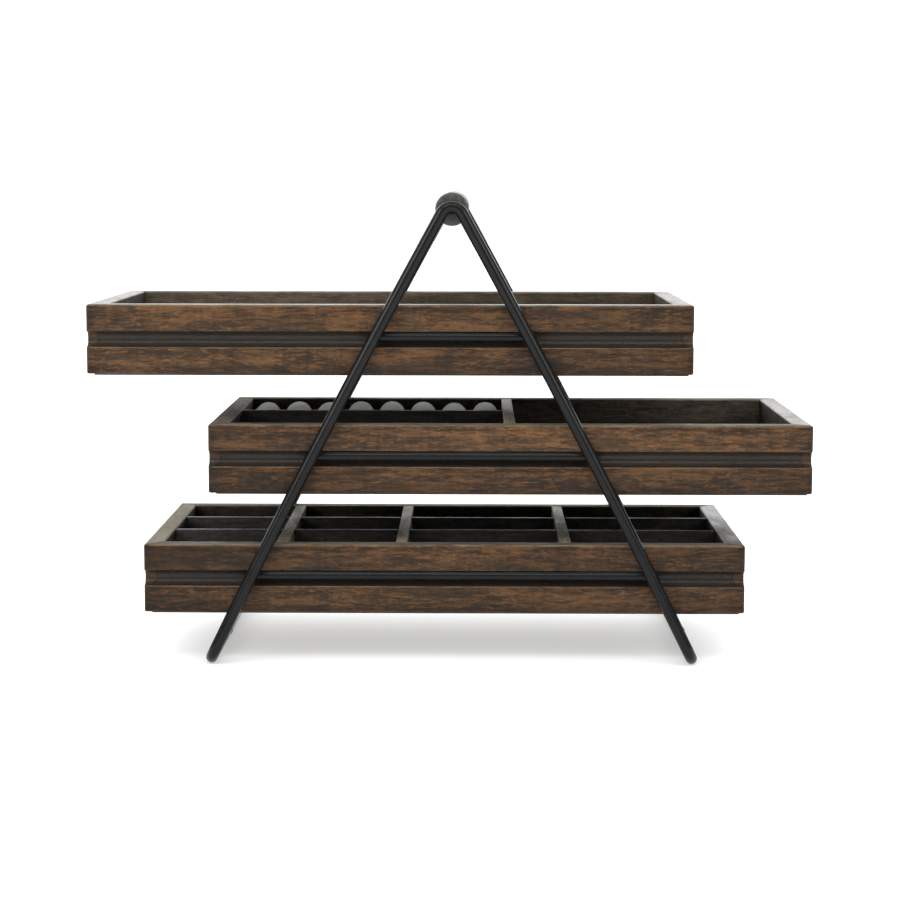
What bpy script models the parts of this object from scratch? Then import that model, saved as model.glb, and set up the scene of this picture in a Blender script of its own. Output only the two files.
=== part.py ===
"""Three-tier sliding tray stand: a bent steel rod A-frame that carries three wooden trays.

Frame: +X along the trays (they slide along X), +Y from front to rear, +Z up.
Origin: on the standing surface, below the middle of the frame. Metres.
"""

import math

import bmesh
import bpy
from mathutils import Matrix, Vector

MM = 0.001

# ---------------------------------------------------------------- driving dimensions
GAP = 0.30 * MM  # gap between pieces that touch

TRAY_W = 320.0 * MM  # along X
TRAY_D = 158.0 * MM  # along Y
TRAY_H = 37.5 * MM  # underside of the base panel to the rim
WALL_T = 10.0 * MM
WALL_H = 36.7 * MM
EDGE_R = 0.9 * MM  # eased edges of the boards
MITRE_GAP = 0.22 * MM  # along the tray, on each side of a mitre plane

GROOVE_TOP = 14.2 * MM  # rim to the groove's upper side
GROOVE_H = 8.25 * MM
GROOVE_DEPTH = 6.0 * MM

REBATE_LIP = 2.0 * MM  # wall left outside the base panel
PANEL_T = 4.0 * MM
PANEL_LEFT_PLAY = 1.5 * MM
LINER_T = 1.0 * MM

THICK_T = 6.0 * MM  # front-to-back dividers
THIN_T = 3.0 * MM  # long dividers
THIN_DROP = 0.3 * MM  # long dividers end this far below the rim
DIVIDER_EDGE = 0.5 * MM

TRAY_TOPS = {"top": 192.4 * MM, "middle": 129.1 * MM, "bottom": 65.0 * MM}
TRAY_X = {"top": -32.6 * MM, "middle": 31.0 * MM, "bottom": -3.9 * MM}

MIDDLE_SPLIT_Y = 2.0 * MM  # long divider of the middle tray
BOTTOM_THICK_X = (-87.0 * MM, -23.0 * MM, 65.0 * MM)
BOTTOM_ROWS = 3

ROLLS = 8
ROLL_TOP_DROP = 2.0 * MM  # ridge of a ring roll below the rim

ROD_R = 3.175 * MM
FRAME_CLEAR = 0.5 * MM  # tray face to leg
FOOT_BEND_R = 9.0 * MM
APEX_BEND_R = 6.1 * MM
RAIL_R = 2.5 * MM
RAIL_OVERHANG = 1.0 * MM  # rail end past the leg's centreline
DOWEL_R = 8.75 * MM
DOWEL_Z = 242.4 * MM
CORE_R = 2.5 * MM

# Leg centreline: half spread w at height z, bowed slightly outward.
LEG_Z0 = 233.5 * MM
LEG_W0 = 9.13 * MM
LEG_SLOPE = 0.5499
LEG_BOW = -0.000136 / MM

# ---------------------------------------------------------------- derived
HALF_W = TRAY_W / 2
HALF_D = TRAY_D / 2
INNER_X = HALF_W - WALL_T
INNER_Y = HALF_D - WALL_T
LEG_Y = HALF_D + FRAME_CLEAR + ROD_R
RAIL_Y = HALF_D + FRAME_CLEAR - GAP - RAIL_R
FLOOR_Z = PANEL_T + GAP + LINER_T  # top of the liner above the tray's underside
DIVIDER_Z = FLOOR_Z + GAP


def leg_w(z):
    u = LEG_Z0 - z
    return LEG_W0 + LEG_SLOPE * u + LEG_BOW * u * u


def leg_slope(z):
    return LEG_SLOPE + 2 * LEG_BOW * (LEG_Z0 - z)


# ---------------------------------------------------------------- scene set-up
for ob in list(bpy.data.objects):
    bpy.data.objects.remove(ob, do_unlink=True)

scene = bpy.context.scene
parts = bpy.data.collections.new("tiered_tray_stand")
cutters = bpy.data.collections.new("cutters")
scene.collection.children.link(parts)
scene.collection.children.link(cutters)


def material(name, color, roughness, metallic=0.0):
    mat = bpy.data.materials.new(name)
    mat.use_nodes = True
    bsdf = mat.node_tree.nodes["Principled BSDF"]
    bsdf.inputs["Base Color"].default_value = (*color, 1.0)
    bsdf.inputs["Roughness"].default_value = roughness
    bsdf.inputs["Metallic"].default_value = metallic
    mat.diffuse_color = (*color, 1.0)
    return mat


BLACK_STEEL = material("black_steel", (0.022, 0.023, 0.025), 0.42, 0.0)
RAIL_STEEL = material("rail_steel", (0.026, 0.027, 0.029), 0.45, 0.0)
STAINED_WOOD = material("stained_wood", (0.105, 0.062, 0.038), 0.50)
DOWEL_WOOD = material("dowel_wood", (0.045, 0.036, 0.030), 0.45)
DIVIDER_WOOD = material("divider_wood", (0.060, 0.045, 0.035), 0.55)
PANEL_BOARD = material("panel_board", (0.040, 0.030, 0.024), 0.60)
BLACK_FELT = material("black_felt", (0.012, 0.012, 0.013), 0.95)
GREY_FELT = material("grey_felt", (0.20, 0.20, 0.175), 0.95)


def add(name, mesh, mat, location=(0, 0, 0), parent=None):
    """A part object in the part's own collection, placed by location and parenting."""
    ob = bpy.data.objects.new(name, mesh)
    ob.location = location
    if parent is not None:
        ob.parent = parent
    if not mesh.materials:
        mesh.materials.append(mat)
    ob.material_slots[0].link = "OBJECT"
    ob.material_slots[0].material = mat
    parts.objects.link(ob)
    return ob


def box_mesh(name, low, high):
    """A box between two corners, made from a cube."""
    low, high = Vector(low), Vector(high)
    bm = bmesh.new()
    bmesh.ops.create_cube(
        bm,
        size=1.0,
        matrix=Matrix.Translation((low + high) / 2) @ Matrix.Diagonal((*(high - low), 1.0)),
    )
    mesh = bpy.data.meshes.new(name)
    bm.to_mesh(mesh)
    bm.free()
    return mesh


def cutter(name, low, high):
    ob = bpy.data.objects.new("cut_" + name, box_mesh("cut_" + name, low, high))
    ob.hide_render = True
    ob.display_type = "WIRE"
    cutters.objects.link(ob)
    return ob


def cut(ob, tool):
    mod = ob.modifiers.new("cut_" + tool.name, "BOOLEAN")
    mod.operation = "DIFFERENCE"
    mod.solver = "EXACT"
    mod.object = tool
    return mod


def ease(ob, width, segments=2):
    mod = ob.modifiers.new("eased_edges", "BEVEL")
    mod.width = width
    mod.segments = segments
    mod.limit_method = "ANGLE"
    mod.angle_limit = math.radians(40)
    mod.harden_normals = False
    return mod


def frozen(ob):
    """The object's evaluated mesh, with the object itself removed."""
    bpy.context.view_layer.update()
    graph = bpy.context.evaluated_depsgraph_get()
    mesh = bpy.data.meshes.new_from_object(ob.evaluated_get(graph))
    mesh.transform(ob.matrix_world)
    bpy.data.objects.remove(ob, do_unlink=True)
    return mesh


def smooth(mesh, angle=40):
    mesh.shade_smooth()
    mesh.set_sharp_from_angle(angle=math.radians(angle))


def slice_off(mesh, point, normal):
    """Removes what lies on the normal's side of a plane, and closes the cut."""
    bm = bmesh.new()
    bm.from_mesh(mesh)
    bmesh.ops.bisect_plane(
        bm,
        geom=bm.verts[:] + bm.edges[:] + bm.faces[:],
        dist=1e-7,
        plane_co=point,
        plane_no=normal,
        clear_outer=True,
    )
    bmesh.ops.holes_fill(bm, edges=[e for e in bm.edges if e.is_boundary], sides=0)
    bmesh.ops.recalc_face_normals(bm, faces=bm.faces[:])
    bm.to_mesh(mesh)
    bm.free()


# ---------------------------------------------------------------- tray walls
# Tray coordinates: X and Y from the tray's middle, Z from the base panel's underside.
Z_RIM = TRAY_H
Z_WALL = TRAY_H - WALL_H
Z_GROOVE_TOP = TRAY_H - GROOVE_TOP
Z_GROOVE_LOW = Z_GROOVE_TOP - GROOVE_H
Z_REBATE = PANEL_T + GAP
FAR = 0.02

groove_front = cutter(
    "groove_front",
    (-HALF_W - FAR, -HALF_D - FAR, Z_GROOVE_LOW),
    (HALF_W + FAR, -HALF_D + GROOVE_DEPTH, Z_GROOVE_TOP),
)
groove_back = cutter(
    "groove_back",
    (-HALF_W - FAR, HALF_D - GROOVE_DEPTH, Z_GROOVE_LOW),
    (HALF_W + FAR, HALF_D + FAR, Z_GROOVE_TOP),
)
rebate = cutter(
    "rebate",
    (-HALF_W + REBATE_LIP, -HALF_D + REBATE_LIP, -FAR),
    (HALF_W - REBATE_LIP, HALF_D - REBATE_LIP, Z_REBATE),
)


def wall_mesh(name, low, high, tools, mitres):
    """One wall: a board with its grooves and rebate, eased edges and mitred ends."""
    ob = bpy.data.objects.new(name, box_mesh(name, low, high))
    parts.objects.link(ob)
    for tool in tools:
        cut(ob, tool)
    ease(ob, EDGE_R)
    mesh = frozen(ob)
    for point, normal in mitres:
        slice_off(mesh, point, normal)
    smooth(mesh)
    mesh.name = name
    return mesh


def mitre(sx, sy, keep):
    """Mitre plane of the corner (sx, sy); keep is the wall kept: the one along X or the one along Y."""
    corner = Vector((sx * HALF_W, sy * HALF_D, 0))
    if keep == "x":  # front and back walls lose what lies towards the side wall
        normal = Vector((sx, -sy, 0)).normalized()
    else:
        normal = Vector((-sx, sy, 0)).normalized()
    return corner - normal * (MITRE_GAP / math.sqrt(2)), normal


WALLS = {
    "front_board": wall_mesh(
        "front_board",
        (-HALF_W, -HALF_D, Z_WALL),
        (HALF_W, -HALF_D + WALL_T, Z_RIM),
        [groove_front, rebate],
        [mitre(-1, -1, "x"), mitre(1, -1, "x")],
    ),
    "back_board": wall_mesh(
        "back_board",
        (-HALF_W, HALF_D - WALL_T, Z_WALL),
        (HALF_W, HALF_D, Z_RIM),
        [groove_back, rebate],
        [mitre(-1, 1, "x"), mitre(1, 1, "x")],
    ),
    "left_side": wall_mesh(
        "left_side",
        (-HALF_W, -HALF_D, Z_WALL),
        (-HALF_W + WALL_T, HALF_D, Z_RIM),
        [groove_front, groove_back, rebate],
        [mitre(-1, -1, "y"), mitre(-1, 1, "y")],
    ),
    "right_side": wall_mesh(
        "right_side",
        (HALF_W - WALL_T, -HALF_D, Z_WALL),
        (HALF_W, HALF_D, Z_RIM),
        [groove_front, groove_back, rebate],
        [mitre(1, -1, "y"), mitre(1, 1, "y")],
    ),
}

PANEL = box_mesh(
    "bottom_panel",
    (-HALF_W + REBATE_LIP + PANEL_LEFT_PLAY, -HALF_D + REBATE_LIP + GAP, 0),
    (HALF_W - REBATE_LIP - GAP, HALF_D - REBATE_LIP - GAP, PANEL_T),
)
LINER = box_mesh(
    "felt_liner",
    (-INNER_X + GAP, -INNER_Y + GAP, PANEL_T + GAP),
    (INNER_X - GAP, INNER_Y - GAP, FLOOR_Z),
)

trays = {}
for level, top in TRAY_TOPS.items():
    # The tray's empty lies on its slide axis, in the middle of the tray at the rails' height.
    rail_z = top - GROOVE_TOP - GAP - RAIL_R
    hub = bpy.data.objects.new(level + "_tray", None)
    hub.location = (TRAY_X[level], 0, rail_z)
    parts.objects.link(hub)
    trays[level] = (hub, Vector((0, 0, top - TRAY_H - rail_z)))
    for name, mesh in WALLS.items():
        add(f"{level}_{name}", mesh, STAINED_WOOD, trays[level][1], hub)
    add(f"{level}_bottom_panel", PANEL, PANEL_BOARD, trays[level][1], hub)
    add(f"{level}_felt_liner", LINER, BLACK_FELT, trays[level][1], hub)


def in_tray(level, name, mesh, mat):
    hub, offset = trays[level]
    return add(f"{level}_{name}", mesh, mat, offset, hub)


def built(name, low, high, tools=(), edge=DIVIDER_EDGE):
    """A straight board with slots, then eased edges, as a finished mesh."""
    ob = bpy.data.objects.new(name, box_mesh(name, low, high))
    parts.objects.link(ob)
    for tool in tools:
        cut(ob, tool)
    if edge:
        ease(ob, edge, 2)
    mesh = frozen(ob)
    smooth(mesh)
    mesh.name = name
    return mesh


# ---------------------------------------------------------------- middle tray
in_tray(
    "middle",
    "cross_divider",
    built(
        "middle_cross_divider",
        (-THICK_T / 2, -INNER_Y + GAP, DIVIDER_Z),
        (THICK_T / 2, INNER_Y - GAP, Z_RIM),
    ),
    DIVIDER_WOOD,
)
in_tray(
    "middle",
    "long_divider",
    built(
        "middle_long_divider",
        (-INNER_X + GAP, MIDDLE_SPLIT_Y - THIN_T / 2, DIVIDER_Z),
        (-THICK_T / 2 - GAP, MIDDLE_SPLIT_Y + THIN_T / 2, Z_RIM - THIN_DROP),
    ),
    DIVIDER_WOOD,
)

# Ring pad: a block whose top is a row of rolls that run from front to back.
pad_x0 = -INNER_X + 0.4 * MM
pad_x1 = -THICK_T / 2 - 0.4 * MM
pad_y0 = MIDDLE_SPLIT_Y + THIN_T / 2 + GAP
pad_y1 = INNER_Y - GAP
pitch = (pad_x1 - pad_x0) / ROLLS
roll_r = pitch / 2
roll_z = Z_RIM - ROLL_TOP_DROP - roll_r
outline = [(pad_x0, DIVIDER_Z), (pad_x1, DIVIDER_Z)]
for i in reversed(range(ROLLS)):
    cx = pad_x0 + (i + 0.5) * pitch
    for k in range(9):
        a = math.radians(12 + (180 - 24) * k / 8)
        outline.append((cx + roll_r * math.cos(a), roll_z + roll_r * math.sin(a)))
curve = bpy.data.curves.new("ring_pad_outline", "CURVE")
curve.dimensions = "2D"
curve.fill_mode = "BOTH"
curve.extrude = (pad_y1 - pad_y0) / 2
spline = curve.splines.new("POLY")
spline.points.add(len(outline) - 1)
for p, (x, z) in zip(spline.points, outline):
    p.co = (x, z, 0, 1)
spline.use_cyclic_u = True
pad = bpy.data.objects.new("ring_pad_outline", curve)
pad.rotation_euler = (math.radians(90), 0, 0)
pad.location = (0, (pad_y0 + pad_y1) / 2, 0)
parts.objects.link(pad)
pad_mesh = frozen(pad)
bm = bmesh.new()
bm.from_mesh(pad_mesh)
bmesh.ops.remove_doubles(bm, verts=bm.verts[:], dist=1e-6)
bmesh.ops.recalc_face_normals(bm, faces=bm.faces[:])
bm.to_mesh(pad_mesh)
bm.free()
smooth(pad_mesh)
in_tray("middle", "ring_pad", pad_mesh, GREY_FELT)

# ---------------------------------------------------------------- bottom tray
# Cross-lap joints: the front-to-back dividers are slotted from below,
# the long dividers from above.
row = (2 * INNER_Y - (BOTTOM_ROWS - 1) * THIN_T) / BOTTOM_ROWS
thin_y = [-INNER_Y + (i + 1) * row + (i + 0.5) * THIN_T for i in range(BOTTOM_ROWS - 1)]
lap_z = (DIVIDER_Z + Z_RIM) / 2
lap_low = [
    cutter(
        f"lap_low_{i}",
        (-HALF_W, y - THIN_T / 2 - GAP, 0),
        (HALF_W, y + THIN_T / 2 + GAP, lap_z + GAP / 2),
    )
    for i, y in enumerate(thin_y)
]
lap_high = [
    cutter(
        f"lap_high_{i}",
        (x - THICK_T / 2 - GAP, -HALF_D, lap_z - GAP / 2),
        (x + THICK_T / 2 + GAP, HALF_D, Z_RIM + FAR),
    )
    for i, x in enumerate(BOTTOM_THICK_X)
]
for i, x in enumerate(BOTTOM_THICK_X):
    in_tray(
        "bottom",
        f"cross_divider_{i + 1}",
        built(
            f"bottom_cross_divider_{i + 1}",
            (x - THICK_T / 2, -INNER_Y + GAP, DIVIDER_Z),
            (x + THICK_T / 2, INNER_Y - GAP, Z_RIM),
            lap_low,
        ),
        DIVIDER_WOOD,
    )
for i, y in enumerate(thin_y):
    in_tray(
        "bottom",
        f"long_divider_{i + 1}",
        built(
            f"bottom_long_divider_{i + 1}",
            (-INNER_X + GAP, y - THIN_T / 2, DIVIDER_Z),
            (INNER_X - GAP, y + THIN_T / 2, Z_RIM - THIN_DROP),
            lap_high,
        ),
        DIVIDER_WOOD,
    )

# ---------------------------------------------------------------- bent rods
def rod_path(side):
    """Centreline of one bent rod; side is -1 for the front rod and 1 for the rear one.
    Half a foot bar, a bend, a leg, the apex bend, the other leg, a bend, half a foot bar."""
    y_leg = side * LEG_Y
    z_foot = ROD_R
    x_foot = leg_w(z_foot)
    m = leg_slope(z_foot)
    up = Vector((m, 0, 1)).normalized()  # up the left leg
    out = Vector((0, side, 0))  # along the foot bar, away from the middle
    corner = Vector((-x_foot, y_leg, z_foot))
    centre = corner - out * FOOT_BEND_R + up * FOOT_BEND_R
    left = [Vector((-x_foot, side * GAP / 2, z_foot))]
    for k in range(9):
        a = math.radians(90 * k / 8)
        left.append(centre + FOOT_BEND_R * (out * math.sin(a) - up * math.cos(a)))
    # apex
    m_top = leg_slope(LEG_Z0 + 16.6 * MM)
    alpha = math.atan(m_top)
    z_corner = LEG_Z0 + LEG_W0 / LEG_SLOPE
    z_bend = z_corner - APEX_BEND_R / math.sin(alpha)
    z_from = left[-1].z
    z_to = z_bend + APEX_BEND_R * math.sin(alpha)
    for k in range(1, 9):
        z = z_from + (z_to - z_from) * k / 9
        left.append(Vector((-leg_w(z), y_leg, z)))
    arc = []
    for k in range(13):
        a = math.pi - alpha - (math.pi - 2 * alpha) * k / 12
        arc.append(
            Vector((APEX_BEND_R * math.cos(a), y_leg, z_bend + APEX_BEND_R * math.sin(a)))
        )
    right = [Vector((-p.x, p.y, p.z)) for p in reversed(left)]
    return left + arc + right


def tube(name, points, radius, mat, resolution=6):
    """A solid round rod along a line of points."""
    data = bpy.data.curves.new(name, "CURVE")
    data.dimensions = "3D"
    data.bevel_depth = radius
    data.bevel_resolution = resolution
    data.use_fill_caps = True
    line = data.splines.new("POLY")
    line.points.add(len(points) - 1)
    for p, co in zip(line.points, points):
        p.co = (*co, 1)
    ob = bpy.data.objects.new(name, data)
    parts.objects.link(ob)
    mesh = frozen(ob)
    bm = bmesh.new()
    bm.from_mesh(mesh)
    bmesh.ops.remove_doubles(bm, verts=bm.verts[:], dist=1e-6)
    bmesh.ops.recalc_face_normals(bm, faces=bm.faces[:])
    bm.to_mesh(mesh)
    bm.free()
    smooth(mesh, 50)
    return add(name, mesh, mat)


tube("front_frame_rod", rod_path(-1), ROD_R, BLACK_STEEL)
tube("rear_frame_rod", rod_path(1), ROD_R, BLACK_STEEL)


# ---------------------------------------------------------------- rails
def cylinder(name, radius, length, axis, location, mat, segments=20, edge=0.0):
    bm = bmesh.new()
    bmesh.ops.create_cone(
        bm,
        cap_ends=True,
        segments=segments,
        radius1=radius,
        radius2=radius,
        depth=length,
        matrix=Vector((0, 0, 1)).rotation_difference(Vector(axis)).to_matrix().to_4x4(),
    )
    mesh = bpy.data.meshes.new(name)
    bm.to_mesh(mesh)
    bm.free()
    ob = add(name, mesh, mat, location)
    if edge:
        ease(ob, edge, 2)
    smooth(mesh, 50)
    return ob


for level, top in TRAY_TOPS.items():
    z = top - GROOVE_TOP - GAP - RAIL_R
    half = leg_w(z) + RAIL_OVERHANG
    for where, sy in (("front", -1), ("rear", 1)):
        cylinder(
            f"{level}_{where}_rail", RAIL_R, 2 * half, (1, 0, 0), (0, sy * RAIL_Y, z), RAIL_STEEL,
            edge=0.35 * MM,
        )

# ---------------------------------------------------------------- handle
core_half = HALF_D + FRAME_CLEAR - GAP
dowel_half = core_half - 0.2 * MM
cylinder("handle_core_rod", CORE_R, 2 * core_half, (0, 1, 0), (0, 0, DOWEL_Z), BLACK_STEEL)

# The dowel is turned: a closed profile of wall, eased ends and through bore.
r_in = CORE_R + GAP
e = 1.0 * MM
profile = [
    (r_in, dowel_half),
    (DOWEL_R - e, dowel_half),
    (DOWEL_R - 0.3 * e, dowel_half - 0.3 * e),
    (DOWEL_R, dowel_half - e),
    (DOWEL_R, -dowel_half + e),
    (DOWEL_R - 0.3 * e, -dowel_half + 0.3 * e),
    (DOWEL_R - e, -dowel_half),
    (r_in, -dowel_half),
]
bm = bmesh.new()
ring = [bm.verts.new((r, 0, z)) for r, z in profile]
for a, b in zip(ring, ring[1:] + ring[:1]):
    bm.edges.new((a, b))
dowel_mesh = bpy.data.meshes.new("handle_dowel")
bm.to_mesh(dowel_mesh)
bm.free()
dowel = add("handle_dowel", dowel_mesh, DOWEL_WOOD, (0, 0, DOWEL_Z))
dowel.rotation_euler = (math.radians(90), 0, 0)
screw = dowel.modifiers.new("turned", "SCREW")
screw.axis = "Z"
screw.angle = math.radians(360)
screw.steps = 40
screw.render_steps = 40
screw.screw_offset = 0
screw.use_merge_vertices = True
screw.merge_threshold = 0.00001
screw.use_smooth_shade = True
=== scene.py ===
"""Looks of the three-tier sliding tray stand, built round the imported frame.

Everything is in the frame's metres: +X along the trays, +Y front to rear, +Z up.
Boards, rods, dowel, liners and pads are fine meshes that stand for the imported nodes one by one.
"""
import math

import bmesh
import bpy
import numpy as np
from mathutils import Matrix, Vector, noise


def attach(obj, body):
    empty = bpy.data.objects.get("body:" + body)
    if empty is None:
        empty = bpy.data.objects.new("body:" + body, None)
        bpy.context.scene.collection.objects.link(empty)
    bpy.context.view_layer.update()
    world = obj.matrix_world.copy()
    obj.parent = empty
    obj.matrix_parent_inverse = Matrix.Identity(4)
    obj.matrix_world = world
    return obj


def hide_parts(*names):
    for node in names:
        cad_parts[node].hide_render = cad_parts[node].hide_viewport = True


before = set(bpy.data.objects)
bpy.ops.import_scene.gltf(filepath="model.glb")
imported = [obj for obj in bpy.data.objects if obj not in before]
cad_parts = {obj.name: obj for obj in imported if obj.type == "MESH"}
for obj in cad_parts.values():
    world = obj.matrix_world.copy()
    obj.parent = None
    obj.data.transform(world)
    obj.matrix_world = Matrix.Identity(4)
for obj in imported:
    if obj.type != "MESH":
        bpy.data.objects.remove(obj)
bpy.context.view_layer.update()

MM = 0.001
scene = bpy.context.scene

# ------------------------------------------------------------------ dimensions, mm
W, D, H = 320.0, 158.0, 37.5
HW, HD = W / 2, D / 2
WALL = 10.0
Z_WALL = 0.8
GROOVE_HI = H - 14.2
GROOVE_LO = GROOVE_HI - 8.25
GROOVE_DEPTH = 6.0
REBATE = 2.0
FLOOR = 4.3
DIV_Z = 5.6
TOPS = {"top": 192.4, "middle": 129.1, "bottom": 65.0}
TRAY_X = {"top": -32.6, "middle": 31.0, "bottom": -3.9}
ROD_R = 3.175
LEG_Y = HD + 0.5 + ROD_R
RAIL_R = 2.5
RAIL_Y = HD + 0.2 - RAIL_R
DOWEL_R, DOWEL_Z = 8.75, 242.4
CORE_R = 2.5


def leg_w(z):
    u = 233.5 - z
    return 9.13 + 0.5499 * u - 0.000136 * u * u


def leg_slope(z):
    return 0.5499 - 0.000272 * (233.5 - z)


# ------------------------------------------------------------------ node helpers
class Shader:
    """A material under construction: node() adds one node, links what is a socket and sets what isn't."""

    def __init__(self, name):
        self.mat = bpy.data.materials.new(name)
        self.mat.use_nodes = True
        self.tree = self.mat.node_tree
        self.tree.nodes.clear()
        self.out = self.tree.nodes.new("ShaderNodeOutputMaterial")
        self.bsdf = self.tree.nodes.new("ShaderNodeBsdfPrincipled")
        self.tree.links.new(self.bsdf.outputs[0], self.out.inputs["Surface"])

    def put(self, node, key, value):
        socket = node.inputs[key]
        if isinstance(value, bpy.types.NodeSocket):
            self.tree.links.new(value, socket)
        else:
            socket.default_value = value

    def node(self, kind, inputs=None, **props):
        n = self.tree.nodes.new("ShaderNode" + kind)
        for k, v in props.items():
            setattr(n, k, v)
        for k, v in (inputs or {}).items():
            self.put(n, k, v)
        return n

    def attribute(self, name, output="Vector"):
        return self.node("Attribute", attribute_name=name, attribute_type="GEOMETRY").outputs[output]

    def parts(self, vector):
        return self.node("SeparateXYZ", {0: vector}).outputs

    def math(self, op, a, b=0.0, c=None, clamp=False):
        ins = {0: a, 1: b}
        if c is not None:
            ins[2] = c
        return self.node("Math", ins, operation=op, use_clamp=clamp).outputs[0]

    def stretch(self, vector, scale, offset=(0, 0, 0)):
        return self.node("Mapping", {"Vector": vector, "Scale": scale, "Location": offset}).outputs[0]

    def noise(self, vector, scale=1.0, detail=3.0, rough=0.55, warp=0.0, lac=2.0):
        return self.node("TexNoise", {"Vector": vector, "Scale": scale, "Detail": detail, "Roughness": rough,
                                      "Distortion": warp, "Lacunarity": lac}).outputs["Fac"]

    def ramp(self, fac, stops, mode="LINEAR"):
        n = self.node("ValToRGB", {0: fac})
        n.color_ramp.interpolation = mode
        el = n.color_ramp.elements
        while len(el) < len(stops):
            el.new(0.5)
        for e, (pos, col) in zip(el, stops):
            e.position = pos
            e.color = (*col, 1.0) if hasattr(col, "__len__") else (col, col, col, 1.0)
        return n.outputs[0]

    def span(self, value, lo, hi, to_lo=0.0, to_hi=1.0):
        return self.node("MapRange", {0: value, 1: lo, 2: hi, 3: to_lo, 4: to_hi}, interpolation_type="SMOOTHSTEP").outputs[0]

    def mix(self, fac, a, b, mode="MIX"):
        n = self.node("Mix", data_type="RGBA", blend_type=mode)
        for i, v in ((0, fac), (6, a), (7, b)):
            if isinstance(v, bpy.types.NodeSocket):
                self.tree.links.new(v, n.inputs[i])
            elif i and hasattr(v, "__len__"):
                n.inputs[i].default_value = (*v, 1.0) if len(v) == 3 else v
            elif i:
                n.inputs[i].default_value = (v, v, v, 1.0)
            else:
                n.inputs[i].default_value = v
        return n.outputs[2]

    def bump(self, height, distance, strength=1.0, under=None):
        n = self.node("Bump", {"Height": height, "Distance": distance, "Strength": strength})
        if under is not None:
            self.put(n, "Normal", under)
        return n.outputs[0]

    def set(self, **values):
        names = {"color": "Base Color", "rough": "Roughness", "metal": "Metallic", "normal": "Normal",
                 "ior": "IOR", "spec": "Specular IOR Level", "coat": "Coat Weight", "coat_rough": "Coat Roughness",
                 "sheen": "Sheen Weight", "sheen_rough": "Sheen Roughness", "sheen_tint": "Sheen Tint"}
        for k, v in values.items():
            if k in ("color", "sheen_tint") and not isinstance(v, bpy.types.NodeSocket):
                v = (*v, 1.0)
            self.put(self.bsdf, names[k], v)
        return self.mat


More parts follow.
